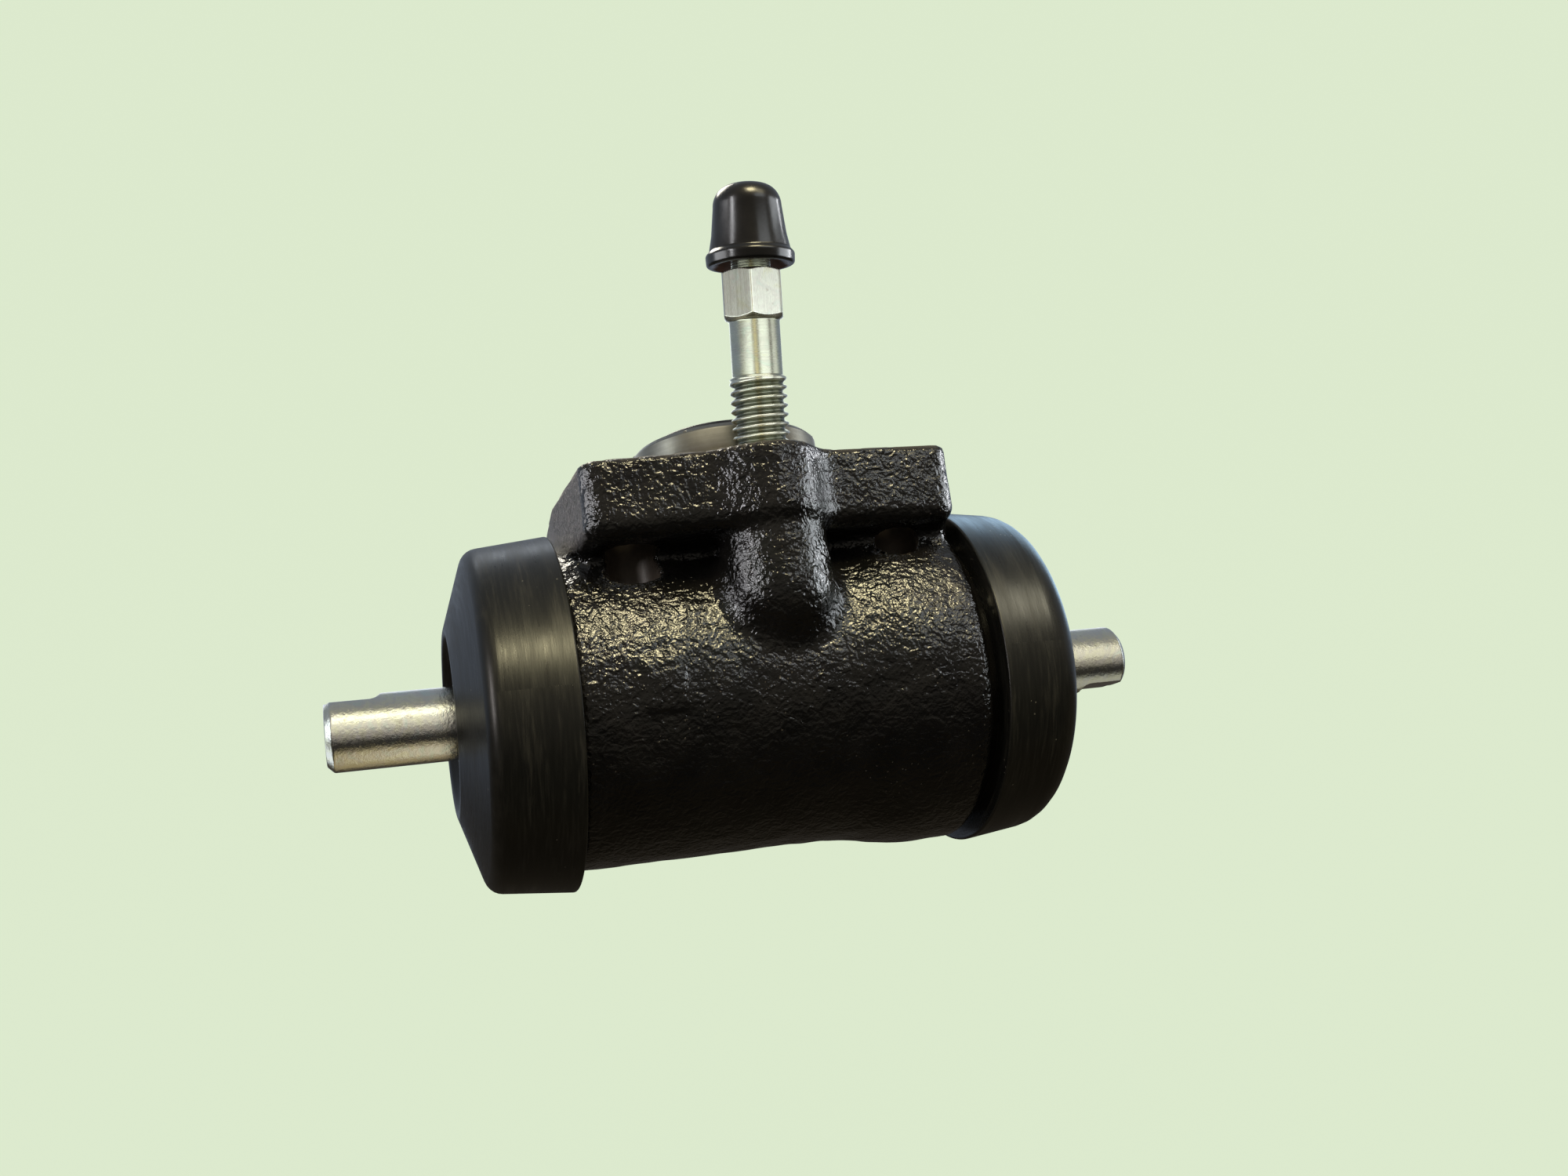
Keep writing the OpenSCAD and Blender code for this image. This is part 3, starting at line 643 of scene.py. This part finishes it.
def ramp(tree, value, stops):
    node = add(tree, "ShaderNodeValToRGB")
    tree.links.new(value, node.inputs["Fac"])
    bar = node.color_ramp
    while len(bar.elements) < len(stops):
        bar.elements.new(0.5)
    for element, (place, colour) in zip(bar.elements, stops):
        element.position = place
        element.color = (colour, colour, colour, 1) if isinstance(colour, (int, float)) else (*colour, 1)
    return node.outputs["Color"]


def blendColour(tree, mask, a, b, mode="MIX"):
    node = add(tree, "ShaderNodeMix", data_type="RGBA", blend_type=mode, clamp_factor=True)
    for index, value in ((0, mask), (6, a), (7, b)):
        connect(tree, value, node.inputs[index])
    return node.outputs[2]


def place(tree, group, **values):
    node = add(tree, "ShaderNodeGroup", node_tree=group)
    for key, value in values.items():
        connect(tree, value, node.inputs[key])
    return node.outputs


def bump(tree, height, strength, distance, normal=None):
    node = add(tree, "ShaderNodeBump")
    for label, value in dict(Strength=strength, Distance=distance, Height=height, Normal=normal).items():
        if value is not None:
            connect(tree, value, node.inputs[label])
    return node.outputs["Normal"]


# cast skin: lumps about a millimetre across with finer pimples and winding furrows between
castSkin, gin, gout = newGroup("castSkin", dict(Vector=None, Size=900.0), ("Height", "Tone"))
wormSize, smallSize, wideSize = (times(castSkin, gin["Size"], share) for share in (0.7, 2.8, 0.28))
big = noise(castSkin, gin["Vector"], gin["Size"], 1.5, 0.45, 0.9)
worms = noise(castSkin, gin["Vector"], wormSize, 1.0, 0.4, 1.1)
worms = math2(castSkin, "ABSOLUTE", math2(castSkin, "SUBTRACT", worms, 0.5))
small = noise(castSkin, gin["Vector"], smallSize, 2.0, 0.5)
wide = noise(castSkin, gin["Vector"], wideSize, 1.0, 0.5)
connect(castSkin, weighed(castSkin, (big, 1.0), (small, 0.4), (wide, 0.5), (worms, -0.7)), gout["Height"])
connect(castSkin, wide, gout["Tone"])

# turned marks: fine rings that lie square to one axis, broken up a little
turnedMarks, gin, gout = newGroup("turnedMarks", dict(Along=0.0, Vector=None, Pitch=4000.0), ("Height", "Streak"))
line = add(turnedMarks, "ShaderNodeCombineXYZ")
connect(turnedMarks, gin["Along"], line.inputs["X"])
rings = noise(turnedMarks, line.outputs[0], gin["Pitch"], 3.0, 0.6)
broken = noise(turnedMarks, gin["Vector"], 380.0)
wideRings = noise(turnedMarks, line.outputs[0], times(turnedMarks, gin["Pitch"], 0.16))
mark = weighed(turnedMarks, (rings, 0.75), (broken, 0.25))
connect(turnedMarks, mark, gout["Height"])
connect(turnedMarks, weighed(turnedMarks, (wideRings, 0.6), (mark, 0.4)), gout["Streak"])

# dust: a thin scatter of pale specks, denser in patches
dustSpecks, gin, gout = newGroup("dustSpecks", dict(Vector=None, Size=1500.0, Cover=0.5), ("Mask",))
cells = add(dustSpecks, "ShaderNodeTexVoronoi")
connect(dustSpecks, gin["Vector"], cells.inputs["Vector"])
connect(dustSpecks, gin["Size"], cells.inputs["Scale"])
speck = math2(dustSpecks, "LESS_THAN", cells.outputs["Distance"], 0.16)
patch = weighed(dustSpecks, (noise(dustSpecks, gin["Vector"], 120.0), 1.0), (cells.outputs["Color"], 0.35))
few = math2(dustSpecks, "GREATER_THAN", patch, math2(dustSpecks, "SUBTRACT", 1.25, gin["Cover"]))
connect(dustSpecks, times(dustSpecks, speck, few), gout["Mask"])
print("effect groups made")


def newMaterial(name):
    material = bpy.data.materials.new(name)
    material.use_nodes = True
    tree = material.node_tree
    shader = next(n for n in tree.nodes if n.type == "BSDF_PRINCIPLED")
    return material, tree, shader.inputs, add(tree, "ShaderNodeTexCoord").outputs["Object"]


def feed(tree, sockets, base, rough, normal, metallic=0.0):
    for label, value in (("Base Color", base), ("Roughness", rough), ("Normal", normal), ("Metallic", metallic)):
        connect(tree, value, sockets[label])


def paintedIron():
    # gloss black paint over rough cast skin; drilled and faced places are bare grey-brown metal, the drilled
    # metal darkened as painted shade of the holes; the flange's ends are torn by the shear and take the paint dull
    # metal and metalDark, the drilled metal, are taken dark: painted shade in the holes
    look = dict(paint=(0.0036, 0.0034, 0.0031), paintHigh=(0.0075, 0.0068, 0.006), dust=(0.06, 0.052, 0.042),
                metal=(0.085, 0.066, 0.05), metalDark=(0.045, 0.036, 0.028), torn=(0.19, 0.172, 0.165),
                tornStretch=(1.0, 1.0, 0.55), tornDeep=1.5, faced=(0.27, 0.258, 0.23), facedDark=(0.16, 0.15, 0.13),
                facedStain=(0.16, 0.13, 0.10), facedDeep=0.05, ringPitch=2600.0, gloss=(0.085, 0.15),
                tornGloss=(0.42, 0.42, 0.42), bareGloss=(0.46, 0.46, 0.46), skinSize=760.0, skinDeep=0.00028)
    material, tree, sockets, vector = newMaterial("painted_iron")
    bareAt, flatAt, tornAt, facedAt = (add(tree, "ShaderNodeAttribute", attribute_name=key).outputs["Fac"]
                                       for key in ("bareMetal", "turnedFace", "shearedSide", "facedTop"))
    skin = place(tree, castSkin, Vector=vector, Size=look["skinSize"])
    dust = place(tree, dustSpecks, Vector=vector, Size=1400.0, Cover=0.42)
    fromSpigot = vector2(tree, "LENGTH", vector2(tree, "MULTIPLY", vector, (1, 1, 0)))
    rings = place(tree, turnedMarks, Along=fromSpigot, Vector=vector, Pitch=look["ringPitch"])
    stain = noise(tree, vector, 260.0, 4.0, 0.6)
    grain = noise(tree, vector2(tree, "MULTIPLY", vector, look["tornStretch"]), 2300.0, 4.0, 0.7)
    torn = times(tree, tornAt, ramp(tree, grain, [(0.36, 0.12), (0.64, 1.0)]))
    coat = ramp(tree, skin["Tone"], [(0.35, look["paint"]), (0.7, look["paintHigh"])])
    coat = blendColour(tree, dust["Mask"], coat, look["dust"])
    coat = blendColour(tree, torn, coat, look["torn"])
    faced = blendColour(tree, 0.3, ramp(tree, rings["Streak"], [(0.3, look["facedDark"]), (0.7, look["faced"])]),
                        ramp(tree, stain, [(0.3, look["facedStain"]), (0.7, look["faced"])]))
    # bare metal of the drillings, its colour darkened as painted shade in the holes
    metal = ramp(tree, stain, [(0.3, look["metalDark"]), (0.7, look["metal"])])
    metal = blendColour(tree, facedAt, metal, faced)
    gloss = ramp(tree, noise(tree, vector, 500.0, 3.0, 0.6), list(zip((0.25, 0.75), look["gloss"])))
    gloss = blendColour(tree, tornAt, gloss, look["tornGloss"])
    keep = math2(tree, "SUBTRACT", 1.0, times(tree, flatAt, 0.93))
    height = times(tree, weighed(tree, (skin["Height"], 1.0), (torn, look["tornDeep"])), keep)
    height = weighed(tree, (height, 1.0), (times(tree, rings["Height"], facedAt), look["facedDeep"]))
    feed(tree, sockets, blendColour(tree, bareAt, coat, metal), blendColour(tree, bareAt, gloss, look["bareGloss"]),
         bump(tree, height, 1.0, look["skinDeep"]), weighed(tree, (bareAt, 0.2), (facedAt, 0.6)))
    return material


def turnedIron():
    # bare machined iron of the spigot with fine rings and brownish stain
    look = dict(dark=(0.20, 0.175, 0.125), warm=(0.33, 0.30, 0.22), pale=(0.27, 0.25, 0.20), pitch=5200.0)
    material, tree, sockets, vector = newMaterial("turned_iron")
    marks = place(tree, turnedMarks, Along=alongAxis(tree, vector, (0, 0, 0), (0, 0, 1)), Vector=vector,
                  Pitch=look["pitch"])
    stain = noise(tree, vector, 210.0, 4.0, 0.6)
    base = ramp(tree, stain, [(0.3, look["dark"]), (0.55, look["warm"]), (0.8, look["pale"])])
    base = blendColour(tree, 0.35, base, ramp(tree, marks["Streak"], [(0.3, 0.18), (0.7, 0.5)]))
    feed(tree, sockets, base, ramp(tree, marks["Streak"], [(0.3, 0.42), (0.7, 0.3)]),
         bump(tree, marks["Height"], 0.5, 0.00002), 1.0)
    return material


def zincPlate(name, origin, axis, pitch, warm, gloss, ringDeep, gritDeep, milled=None):
    # bright zinc with turning marks, a faint rainbow bloom and small dull spots; milled gives where
    # the hexagon starts and ends, whose marks run along the axis, and where the thread ends
    # the last four colours are painted light: the dimming off the hexagon is painted shade, the thread's root is
    # painted dark as shade and its crest painted bright as highlight
    look = dict(straw=(0.66, 0.65, 0.48), rose=(0.66, 0.63, 0.60), green=(0.58, 0.68, 0.63), steel=(0.80, 0.81, 0.75),
                steelDark=(0.66, 0.67, 0.61), spot=(0.3, 0.26, 0.2), offHexPaintedShade=(0.77, 0.78, 0.72), paintedRootShade=(0.30, 0.31, 0.27),
                flank=(0.66, 0.68, 0.60), crest=(1.0, 1.0, 0.95))
    material, tree, sockets, vector = newMaterial(name)
    line = along = alongAxis(tree, vector, origin, axis)
    if milled:
        split = add(tree, "ShaderNodeSeparateXYZ")
        connect(tree, vector, split.inputs[0])
        onHex = times(tree, math2(tree, "GREATER_THAN", along, milled[0]), math2(tree, "LESS_THAN", along, milled[1]))
        line = weighed(tree, (along, 1.0), (onHex, math2(tree, "SUBTRACT", split.outputs["X"], along)))
    marks = place(tree, turnedMarks, Along=line, Vector=vector, Pitch=pitch)
    bloom = noise(tree, vector, 330.0, 3.0, 0.55, 1.2)
    tint = ramp(tree, bloom, [(0.3, look["straw"]), (0.45, warm), (0.56, look["rose"]), (0.68, look["green"])])
    steel = ramp(tree, marks["Streak"], [(0.3, look["steelDark"]), (0.7, look["steel"])])
    spots = ramp(tree, noise(tree, vector, 900.0), [(0.68, 0.0), (0.76, 1.0)])
    colour = blendColour(tree, 0.5, steel, tint)
    if milled:
        # dimmed off the hexagon, a painted shade that leaves the flats standing out as painted highlight, and darkest
        # in the thread's root as painted shade; radius in centimetres
        radius = times(tree, fromAxis(tree, vector, origin, axis), 100.0)
        # thread colour by radius: painted shade in the root, painted highlight on the crest
        thread = ramp(tree, radius, [(0.335, look["paintedRootShade"]), (0.372, look["flank"]), (0.391, look["crest"])])
        offHexPaintedShade = blendColour(tree, math2(tree, "LESS_THAN", along, milled[2]), look["offHexPaintedShade"], thread)
        colour = blendColour(tree, 1.0, colour, blendColour(tree, onHex, offHexPaintedShade, (1.0, 1.0, 1.0)), "MULTIPLY")
    grit = bump(tree, noise(tree, vector, 1800.0, 4.0, 0.7), gritDeep, 0.00006)
    feed(tree, sockets, blendColour(tree, times(tree, spots, 0.35), colour, look["spot"]),
         ramp(tree, marks["Height"], list(zip((0.3, 0.7), gloss))),
         bump(tree, marks["Height"], ringDeep, 0.00002, grit), 1.0)
    return material


def bootRubber():
    # satin black rubber: fine rings from the mould, scuffs drawn out round the axis and a few specks;
    # the scuffs lie on a map of (distance along + distance out, angle)
    look = dict(dark=(0.0045, 0.0046, 0.0042), bloom=(0.0085, 0.0084, 0.0072), worn=(0.034, 0.032, 0.027),
                dust=(0.10, 0.094, 0.08), angleShare=0.0016)
    material, tree, sockets, vector = newMaterial("boot_rubber")
    along = alongAxis(tree, vector, *boreAxis)
    out = vector2(tree, "MULTIPLY_ADD", vector, (0, 1, 1), (0, 0, -boreZ * mm))
    split = add(tree, "ShaderNodeSeparateXYZ")
    connect(tree, out, split.inputs[0])
    reach = math2(tree, "ADD", math2(tree, "ABSOLUTE", along), vector2(tree, "LENGTH", out))
    angle = math2(tree, "ARCTAN2", split.outputs["Z"], split.outputs["Y"])
    roundMap = add(tree, "ShaderNodeCombineXYZ")
    connect(tree, reach, roundMap.inputs["X"])
    connect(tree, times(tree, angle, look["angleShare"]), roundMap.inputs["Y"])
    scuff = noise(tree, roundMap.outputs[0], 2600.0, 4.0, 0.62)
    smear = noise(tree, roundMap.outputs[0], 520.0, 3.0, 0.55)
    marks = place(tree, turnedMarks, Along=reach, Vector=vector, Pitch=1900.0)
    dust = place(tree, dustSpecks, Vector=vector, Size=1300.0, Cover=0.4)
    base = ramp(tree, noise(tree, vector, 95.0, 4.0, 0.6), [(0.3, look["dark"]), (0.75, look["bloom"])])
    worn = times(tree, ramp(tree, scuff, [(0.46, 0.0), (0.74, 1.0)]), ramp(tree, smear, [(0.42, 0.1), (0.66, 1.0)]))
    base = blendColour(tree, worn, base, look["worn"])
    gloss = ramp(tree, smear, [(0.3, 0.24), (0.7, 0.42)])
    gloss = blendColour(tree, 0.35, gloss, ramp(tree, scuff, [(0.3, 0.2), (0.7, 0.5)]))
    feed(tree, sockets, blendColour(tree, dust["Mask"], base, look["dust"]), gloss,
         bump(tree, marks["Height"], 0.35, 0.00003, bump(tree, scuff, 0.5, 0.00004)))
    return material


def capRubber():
    # glossier black rubber, reddish-brown up inside the hollow of the brim
    look = dict(dark=(0.004, 0.0037, 0.0034), pale=(0.0075, 0.0066, 0.006), hollow=(0.11, 0.045, 0.034),
                hollowR=cap["brimR"] - 0.75, hollowTo=cap["base"] + cap["hollow"] + 0.3)
    material, tree, sockets, vector = newMaterial("cap_rubber")
    black = ramp(tree, noise(tree, vector, 420.0, 3.0, 0.55), [(0.3, look["dark"]), (0.75, look["pale"])])
    inner = math2(tree, "LESS_THAN", fromAxis(tree, vector, *bleedLine), look["hollowR"] * mm)
    low = math2(tree, "LESS_THAN", alongAxis(tree, vector, *bleedLine), look["hollowTo"] * mm)
    feed(tree, sockets, blendColour(tree, times(tree, inner, low), black, look["hollow"]),
         ramp(tree, noise(tree, vector, 260.0, 3.0, 0.6), [(0.3, 0.18), (0.7, 0.28)]),
         bump(tree, noise(tree, vector, 2600.0), 0.12, 0.00004))
    return material


def mouldedBlack(name, tone, gloss, grain):
    # plain moulding: tone and gloss are (noise size, low, high), grain the size of its fine texture
    material, tree, sockets, vector = newMaterial(name)
    feed(tree, sockets, ramp(tree, noise(tree, vector, tone[0], 3.0), [(0.3, tone[1]), (0.7, tone[2])]),
         ramp(tree, noise(tree, vector, gloss[0]), [(0.3, gloss[1]), (0.7, gloss[2])]),
         bump(tree, noise(tree, vector, grain), 0.2, 0.00003))
    return material


boreAxis = ((0, 0, boreZ * mm), (1, 0, 0))
bleedLine = (tuple(v * mm for v in bleed["base"]), bleedAxis)
milled = tuple(bleed[key] * mm for key in ("hexFrom", "hexTo", "threadTo"))
rodZinc = zincPlate("rod_zinc", *boreAxis, 5200.0, (0.74, 0.73, 0.57), (0.1, 0.2), 0.08, 0.9)
screwZinc = zincPlate("screw_zinc", *bleedLine, 4200.0, (0.74, 0.76, 0.70), (0.2, 0.32), 0.06, 0.1, milled)
pistonAlloy = zincPlate("piston_alloy", *boreAxis, 3600.0, (0.70, 0.70, 0.69), (0.22, 0.36), 0.5, 0.2)
springSteel = zincPlate("spring_steel", *boreAxis, 6000.0, (0.55, 0.54, 0.52), (0.25, 0.4), 0.3, 0.2)
bootBlack = bootRubber()
plugBlack = mouldedBlack("plug_plastic", (300.0, (0.012, 0.012, 0.013), (0.022, 0.022, 0.024)), (700.0, 0.38, 0.52),
                         3800.0)
sealBlack = mouldedBlack("seal_rubber", (240.0, (0.014, 0.013, 0.012), (0.03, 0.028, 0.026)), (500.0, 0.4, 0.58),
                         2400.0)
inside = dict(piston=pistonAlloy, cup_seal=sealBlack, cup_expander=springSteel)
painted = [(housing, paintedIron()), (spigotPiece, turnedIron()), (screw, screwZinc), (capOuter, capRubber()),
           (plugPiece, plugBlack)]
for group, material in ((rods, rodZinc), (boots, bootBlack), (springs, springSteel)):
    painted += [(piece, material) for piece in group]
for key, material in inside.items():
    painted += [(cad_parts[side + key], material) for side in ("left_", "right_")]
for piece, material in painted:
    piece.data.materials.clear()
    piece.data.materials.append(material)
print("materials placed")


# floor, light and world

studio = dict(floorZ=-0.09, wallY=1.1, bend=0.45, wide=2.6, high=2.2, near=-1.8, pale=(0.737, 0.838, 0.631), matte=0.03)


def coveSheet():
    # floor, a quarter-round bend and a wall, as one strip swept across
    k = studio
    t = np.linspace(0, math.pi / 2, 24)
    y = np.concatenate([[k["near"]], k["wallY"] - k["bend"] + k["bend"] * np.sin(t), [k["wallY"]]])
    z = np.concatenate([[k["floorZ"]], k["floorZ"] + k["bend"] * (1 - np.cos(t)), [k["floorZ"] + k["high"]]])
    x = np.array([-k["wide"], k["wide"]])
    pts = np.stack([np.repeat(x[None], len(y), 0), np.repeat(y[:, None], 2, 1), np.repeat(z[:, None], 2, 1)], -1)
    i = np.arange(len(y) - 1)
    faces = np.stack([2 * i, 2 * i + 1, 2 * i + 3, 2 * i + 2], 1)
    return makeMesh("studio_cove", pts.reshape(-1, 3) / mm, faces, tidy=False)


cove = coveSheet()
coveMaterial = bpy.data.materials.new("pale_cove")
coveMaterial.use_nodes = True
coveTree = coveMaterial.node_tree
coveTree.nodes.clear()
coveOut = add(coveTree, "ShaderNodeOutputMaterial")
coveMix = add(coveTree, "ShaderNodeMixShader")
coveMix.inputs[0].default_value = studio["matte"]
for slot, kind in ((1, "ShaderNodeEmission"), (2, "ShaderNodeBsdfDiffuse")):
    shade = add(coveTree, kind)
    connect(coveTree, studio["pale"], shade.inputs["Color"])
    connect(coveTree, shade.outputs[0], coveMix.inputs[slot])
connect(coveTree, coveMix.outputs[0], coveOut.inputs["Surface"])
cove.data.materials.append(coveMaterial)
cove.visible_glossy = cove.visible_diffuse = cove.visible_shadow = False


def softbox(name, place, aim, width, height, power, colour):
    data = bpy.data.lights.new(name, "AREA")
    data.shape = "RECTANGLE"
    data.size, data.size_y = width, height
    data.energy = power
    data.color = colour
    lamp = bpy.data.objects.new(name, data)
    bpy.context.scene.collection.objects.link(lamp)
    back = (Vector(place) - Vector(aim)).normalized()
    lamp.matrix_world = Matrix.Translation(place) @ back.to_track_quat("Z", "Y").to_matrix().to_4x4()
    return lamp


# name, place, aim, width, height, power and colour of each lamp, in sets that light only their own
# pieces: the casting sees a warm lamp high in front, its glow on the ceiling, windows and a strip to
# the right, a strip and a paler wall to the left; the boots a lower lamp and a cool rim; the screw
# and the other bright metal wide pale walls and the warm bench underneath; each has a lamp behind
lampSets = dict(
    dark=([housing, capOuter, plugPiece], [
        ("key_front", (0.045, -0.40, 0.465), (0, -0.01, -0.02), 0.19, 0.17, 3.0, (1.0, 0.88, 0.53)),
        ("key_glow", (0.26, -0.40, 0.40), (0, -0.01, -0.02), 0.22, 0.2, 0.5, (1.0, 0.90, 0.60)),
        ("right_window", (0.60, -0.12, 0.07), (0, 0, -0.02), 0.40, 0.34, 2.2, (0.90, 0.96, 1.0)),
        ("front_window", (0.28, -0.53, 0.25), (0, 0, -0.02), 0.34, 0.16, 0.42, (0.90, 0.96, 1.0)),
        ("left_strip", (-0.54, -0.31, 0.15), (0, 0, -0.02), 0.06, 0.3, 1.3, (0.97, 0.97, 1.0)),
        ("right_strip", (0.60, 0.11, 0.13), (0, 0, -0.02), 0.06, 0.3, 1.1, (0.96, 0.97, 1.0)),
        ("left_wall", (-0.62, 0.05, 0.09), (0, 0, -0.02), 0.42, 0.34, 2.2, (0.97, 0.97, 1.0)),
        ("back_lamp", (-0.12, 0.34, 0.52), (0, 0.01, -0.02), 0.3, 0.2, 2.0, (1.0, 0.94, 0.80))]),
    rubber=(boots, [
        ("boot_key", (0.03, -0.51, 0.31), (0, -0.01, -0.03), 0.26, 0.10, 2.1, (1.0, 0.90, 0.54)),
        ("boot_key_right", (0.36, -0.42, 0.30), (0.04, -0.01, -0.03), 0.24, 0.2, 1.0, (1.0, 0.94, 0.70)),
        ("boot_rim", (0.42, 0.34, 0.28), (0.04, 0, -0.03), 0.3, 0.46, 1.0, (0.50, 0.76, 1.0)),
        ("boot_left", (-0.55, -0.30, 0.04), (-0.04, 0, -0.03), 0.10, 0.26, 0.75, (1.0, 0.93, 0.90)),
        ("boot_back", (-0.05, 0.34, 0.50), (0, 0, -0.03), 0.4, 0.14, 0.3, (0.86, 0.93, 1.0))]),
    steel=([screw], [
        ("screw_left", (-0.54, -0.28, -0.16), (0, -0.02, 0.01), 0.84, 0.36, 1.9, (0.94, 1.0, 0.95)),
        ("screw_right", (0.24, -0.56, -0.17), (0, -0.02, 0.01), 0.56, 0.36, 1.2, (0.94, 1.0, 0.95)),
        ("screw_side", (0.60, -0.14, -0.10), (0, -0.02, 0.01), 0.4, 0.36, 0.5, (0.94, 1.0, 0.95)),
        ("screw_gold", (-0.165, -0.57, -0.18), (0, -0.02, 0.01), 0.14, 0.34, 0.2, (1.0, 0.86, 0.45)),
        ("screw_top", (0.0, -0.32, 0.50), (0, -0.02, 0.01), 0.8, 0.3, 1.9, (1.0, 0.98, 0.88)),
        ("screw_back", (0.1, 0.55, 0.30), (0, -0.02, 0.01), 0.5, 0.4, 0.8, (0.94, 1.0, 0.95))]),
    metal=([*rods, spigotPiece], [
        ("pale_wall", (-0.02, -0.65, 0.20), (0, 0, -0.02), 1.5, 0.5, 1.65, (1.0, 0.97, 0.80)),
        ("low_wall", (-0.02, -0.65, -0.19), (0, 0, -0.02), 1.5, 0.26, 0.3, (1.0, 0.92, 0.84)),
        ("metal_key", (0.0, -0.45, 0.36), (0, -0.01, -0.02), 0.6, 0.2, 0.65, (1.0, 0.96, 0.70)),
        ("metal_left", (-0.58, -0.05, 0.05), (-0.04, 0, -0.02), 0.2, 0.3, 0.45, (0.86, 0.95, 1.0)),
        ("metal_tip", (-0.30, 0.13, -0.15), (-0.06, 0, -0.03), 0.2, 0.22, 0.16, (0.86, 0.95, 1.0)),
        ("metal_side", (0.62, 0.02, 0.10), (0, 0, 0.0), 0.2, 0.4, 0.45, (0.92, 0.98, 1.0)),
        ("metal_back", (0.0, 0.62, 0.24), (0, 0, -0.02), 1.0, 0.3, 0.8, (0.90, 0.95, 1.0)),
        ("left_bench", (-0.058, 0.02, -0.17), (-0.05, 0, -0.03), 0.12, 0.22, 0.025, (1.0, 0.82, 0.48)),
        ("right_bench", (0.066, 0.0, -0.17), (0.05, 0, -0.03), 0.12, 0.24, 0.036, (0.92, 0.95, 0.84))]))
for label, (pieces, lamps) in lampSets.items():
    receivers = bpy.data.collections.new(label + "_receivers")
    for piece in pieces:
        receivers.objects.link(piece)
    for values in lamps:
        softbox(*values).light_linking.receiver_collection = receivers

world = bpy.data.worlds.new("studio_world")
bpy.context.scene.world = world
world.use_nodes = True
worldTree = world.node_tree
worldTree.nodes.clear()
worldOut = add(worldTree, "ShaderNodeOutputWorld")
worldSplit = add(worldTree, "ShaderNodeSeparateXYZ")
connect(worldTree, add(worldTree, "ShaderNodeTexCoord").outputs["Generated"], worldSplit.inputs[0])
# round the object from below the back, under, front, over the top to the back again
lift = math2(worldTree, "ARCTAN2", worldSplit.outputs["Z"], times(worldTree, worldSplit.outputs["Y"], -1.0))
lift = math2(worldTree, "ADD", math2(worldTree, "DIVIDE", lift, 2 * math.pi), 0.5)
sky = ramp(worldTree, lift, [(0.0, (0.06, 0.055, 0.05)), (0.10, (0.06, 0.05, 0.035)), (0.29, (0.06, 0.047, 0.028)),
                             (0.333, (0.03, 0.028, 0.025)), (0.403, (0.03, 0.028, 0.026)), (0.472, (0.16, 0.15, 0.13)),
                             (0.556, (0.26, 0.24, 0.21)), (0.639, (0.36, 0.34, 0.29)), (0.708, (0.28, 0.29, 0.29)),
                             (0.806, (0.26, 0.29, 0.33)), (1.0, (0.30, 0.35, 0.43))])
# the camera itself sees the cove's colour past the cove's edge
worldMix = add(worldTree, "ShaderNodeMixShader")
connect(worldTree, add(worldTree, "ShaderNodeLightPath").outputs["Is Camera Ray"], worldMix.inputs[0])
for slot, colour in ((1, sky), (2, studio["pale"])):
    backdrop = add(worldTree, "ShaderNodeBackground")
    connect(worldTree, colour, backdrop.inputs["Color"])
    connect(worldTree, backdrop.outputs[0], worldMix.inputs[slot])
connect(worldTree, worldMix.outputs[0], worldOut.inputs["Surface"])
bpy.context.scene.view_settings.view_transform = "Standard"
print("studio lit")
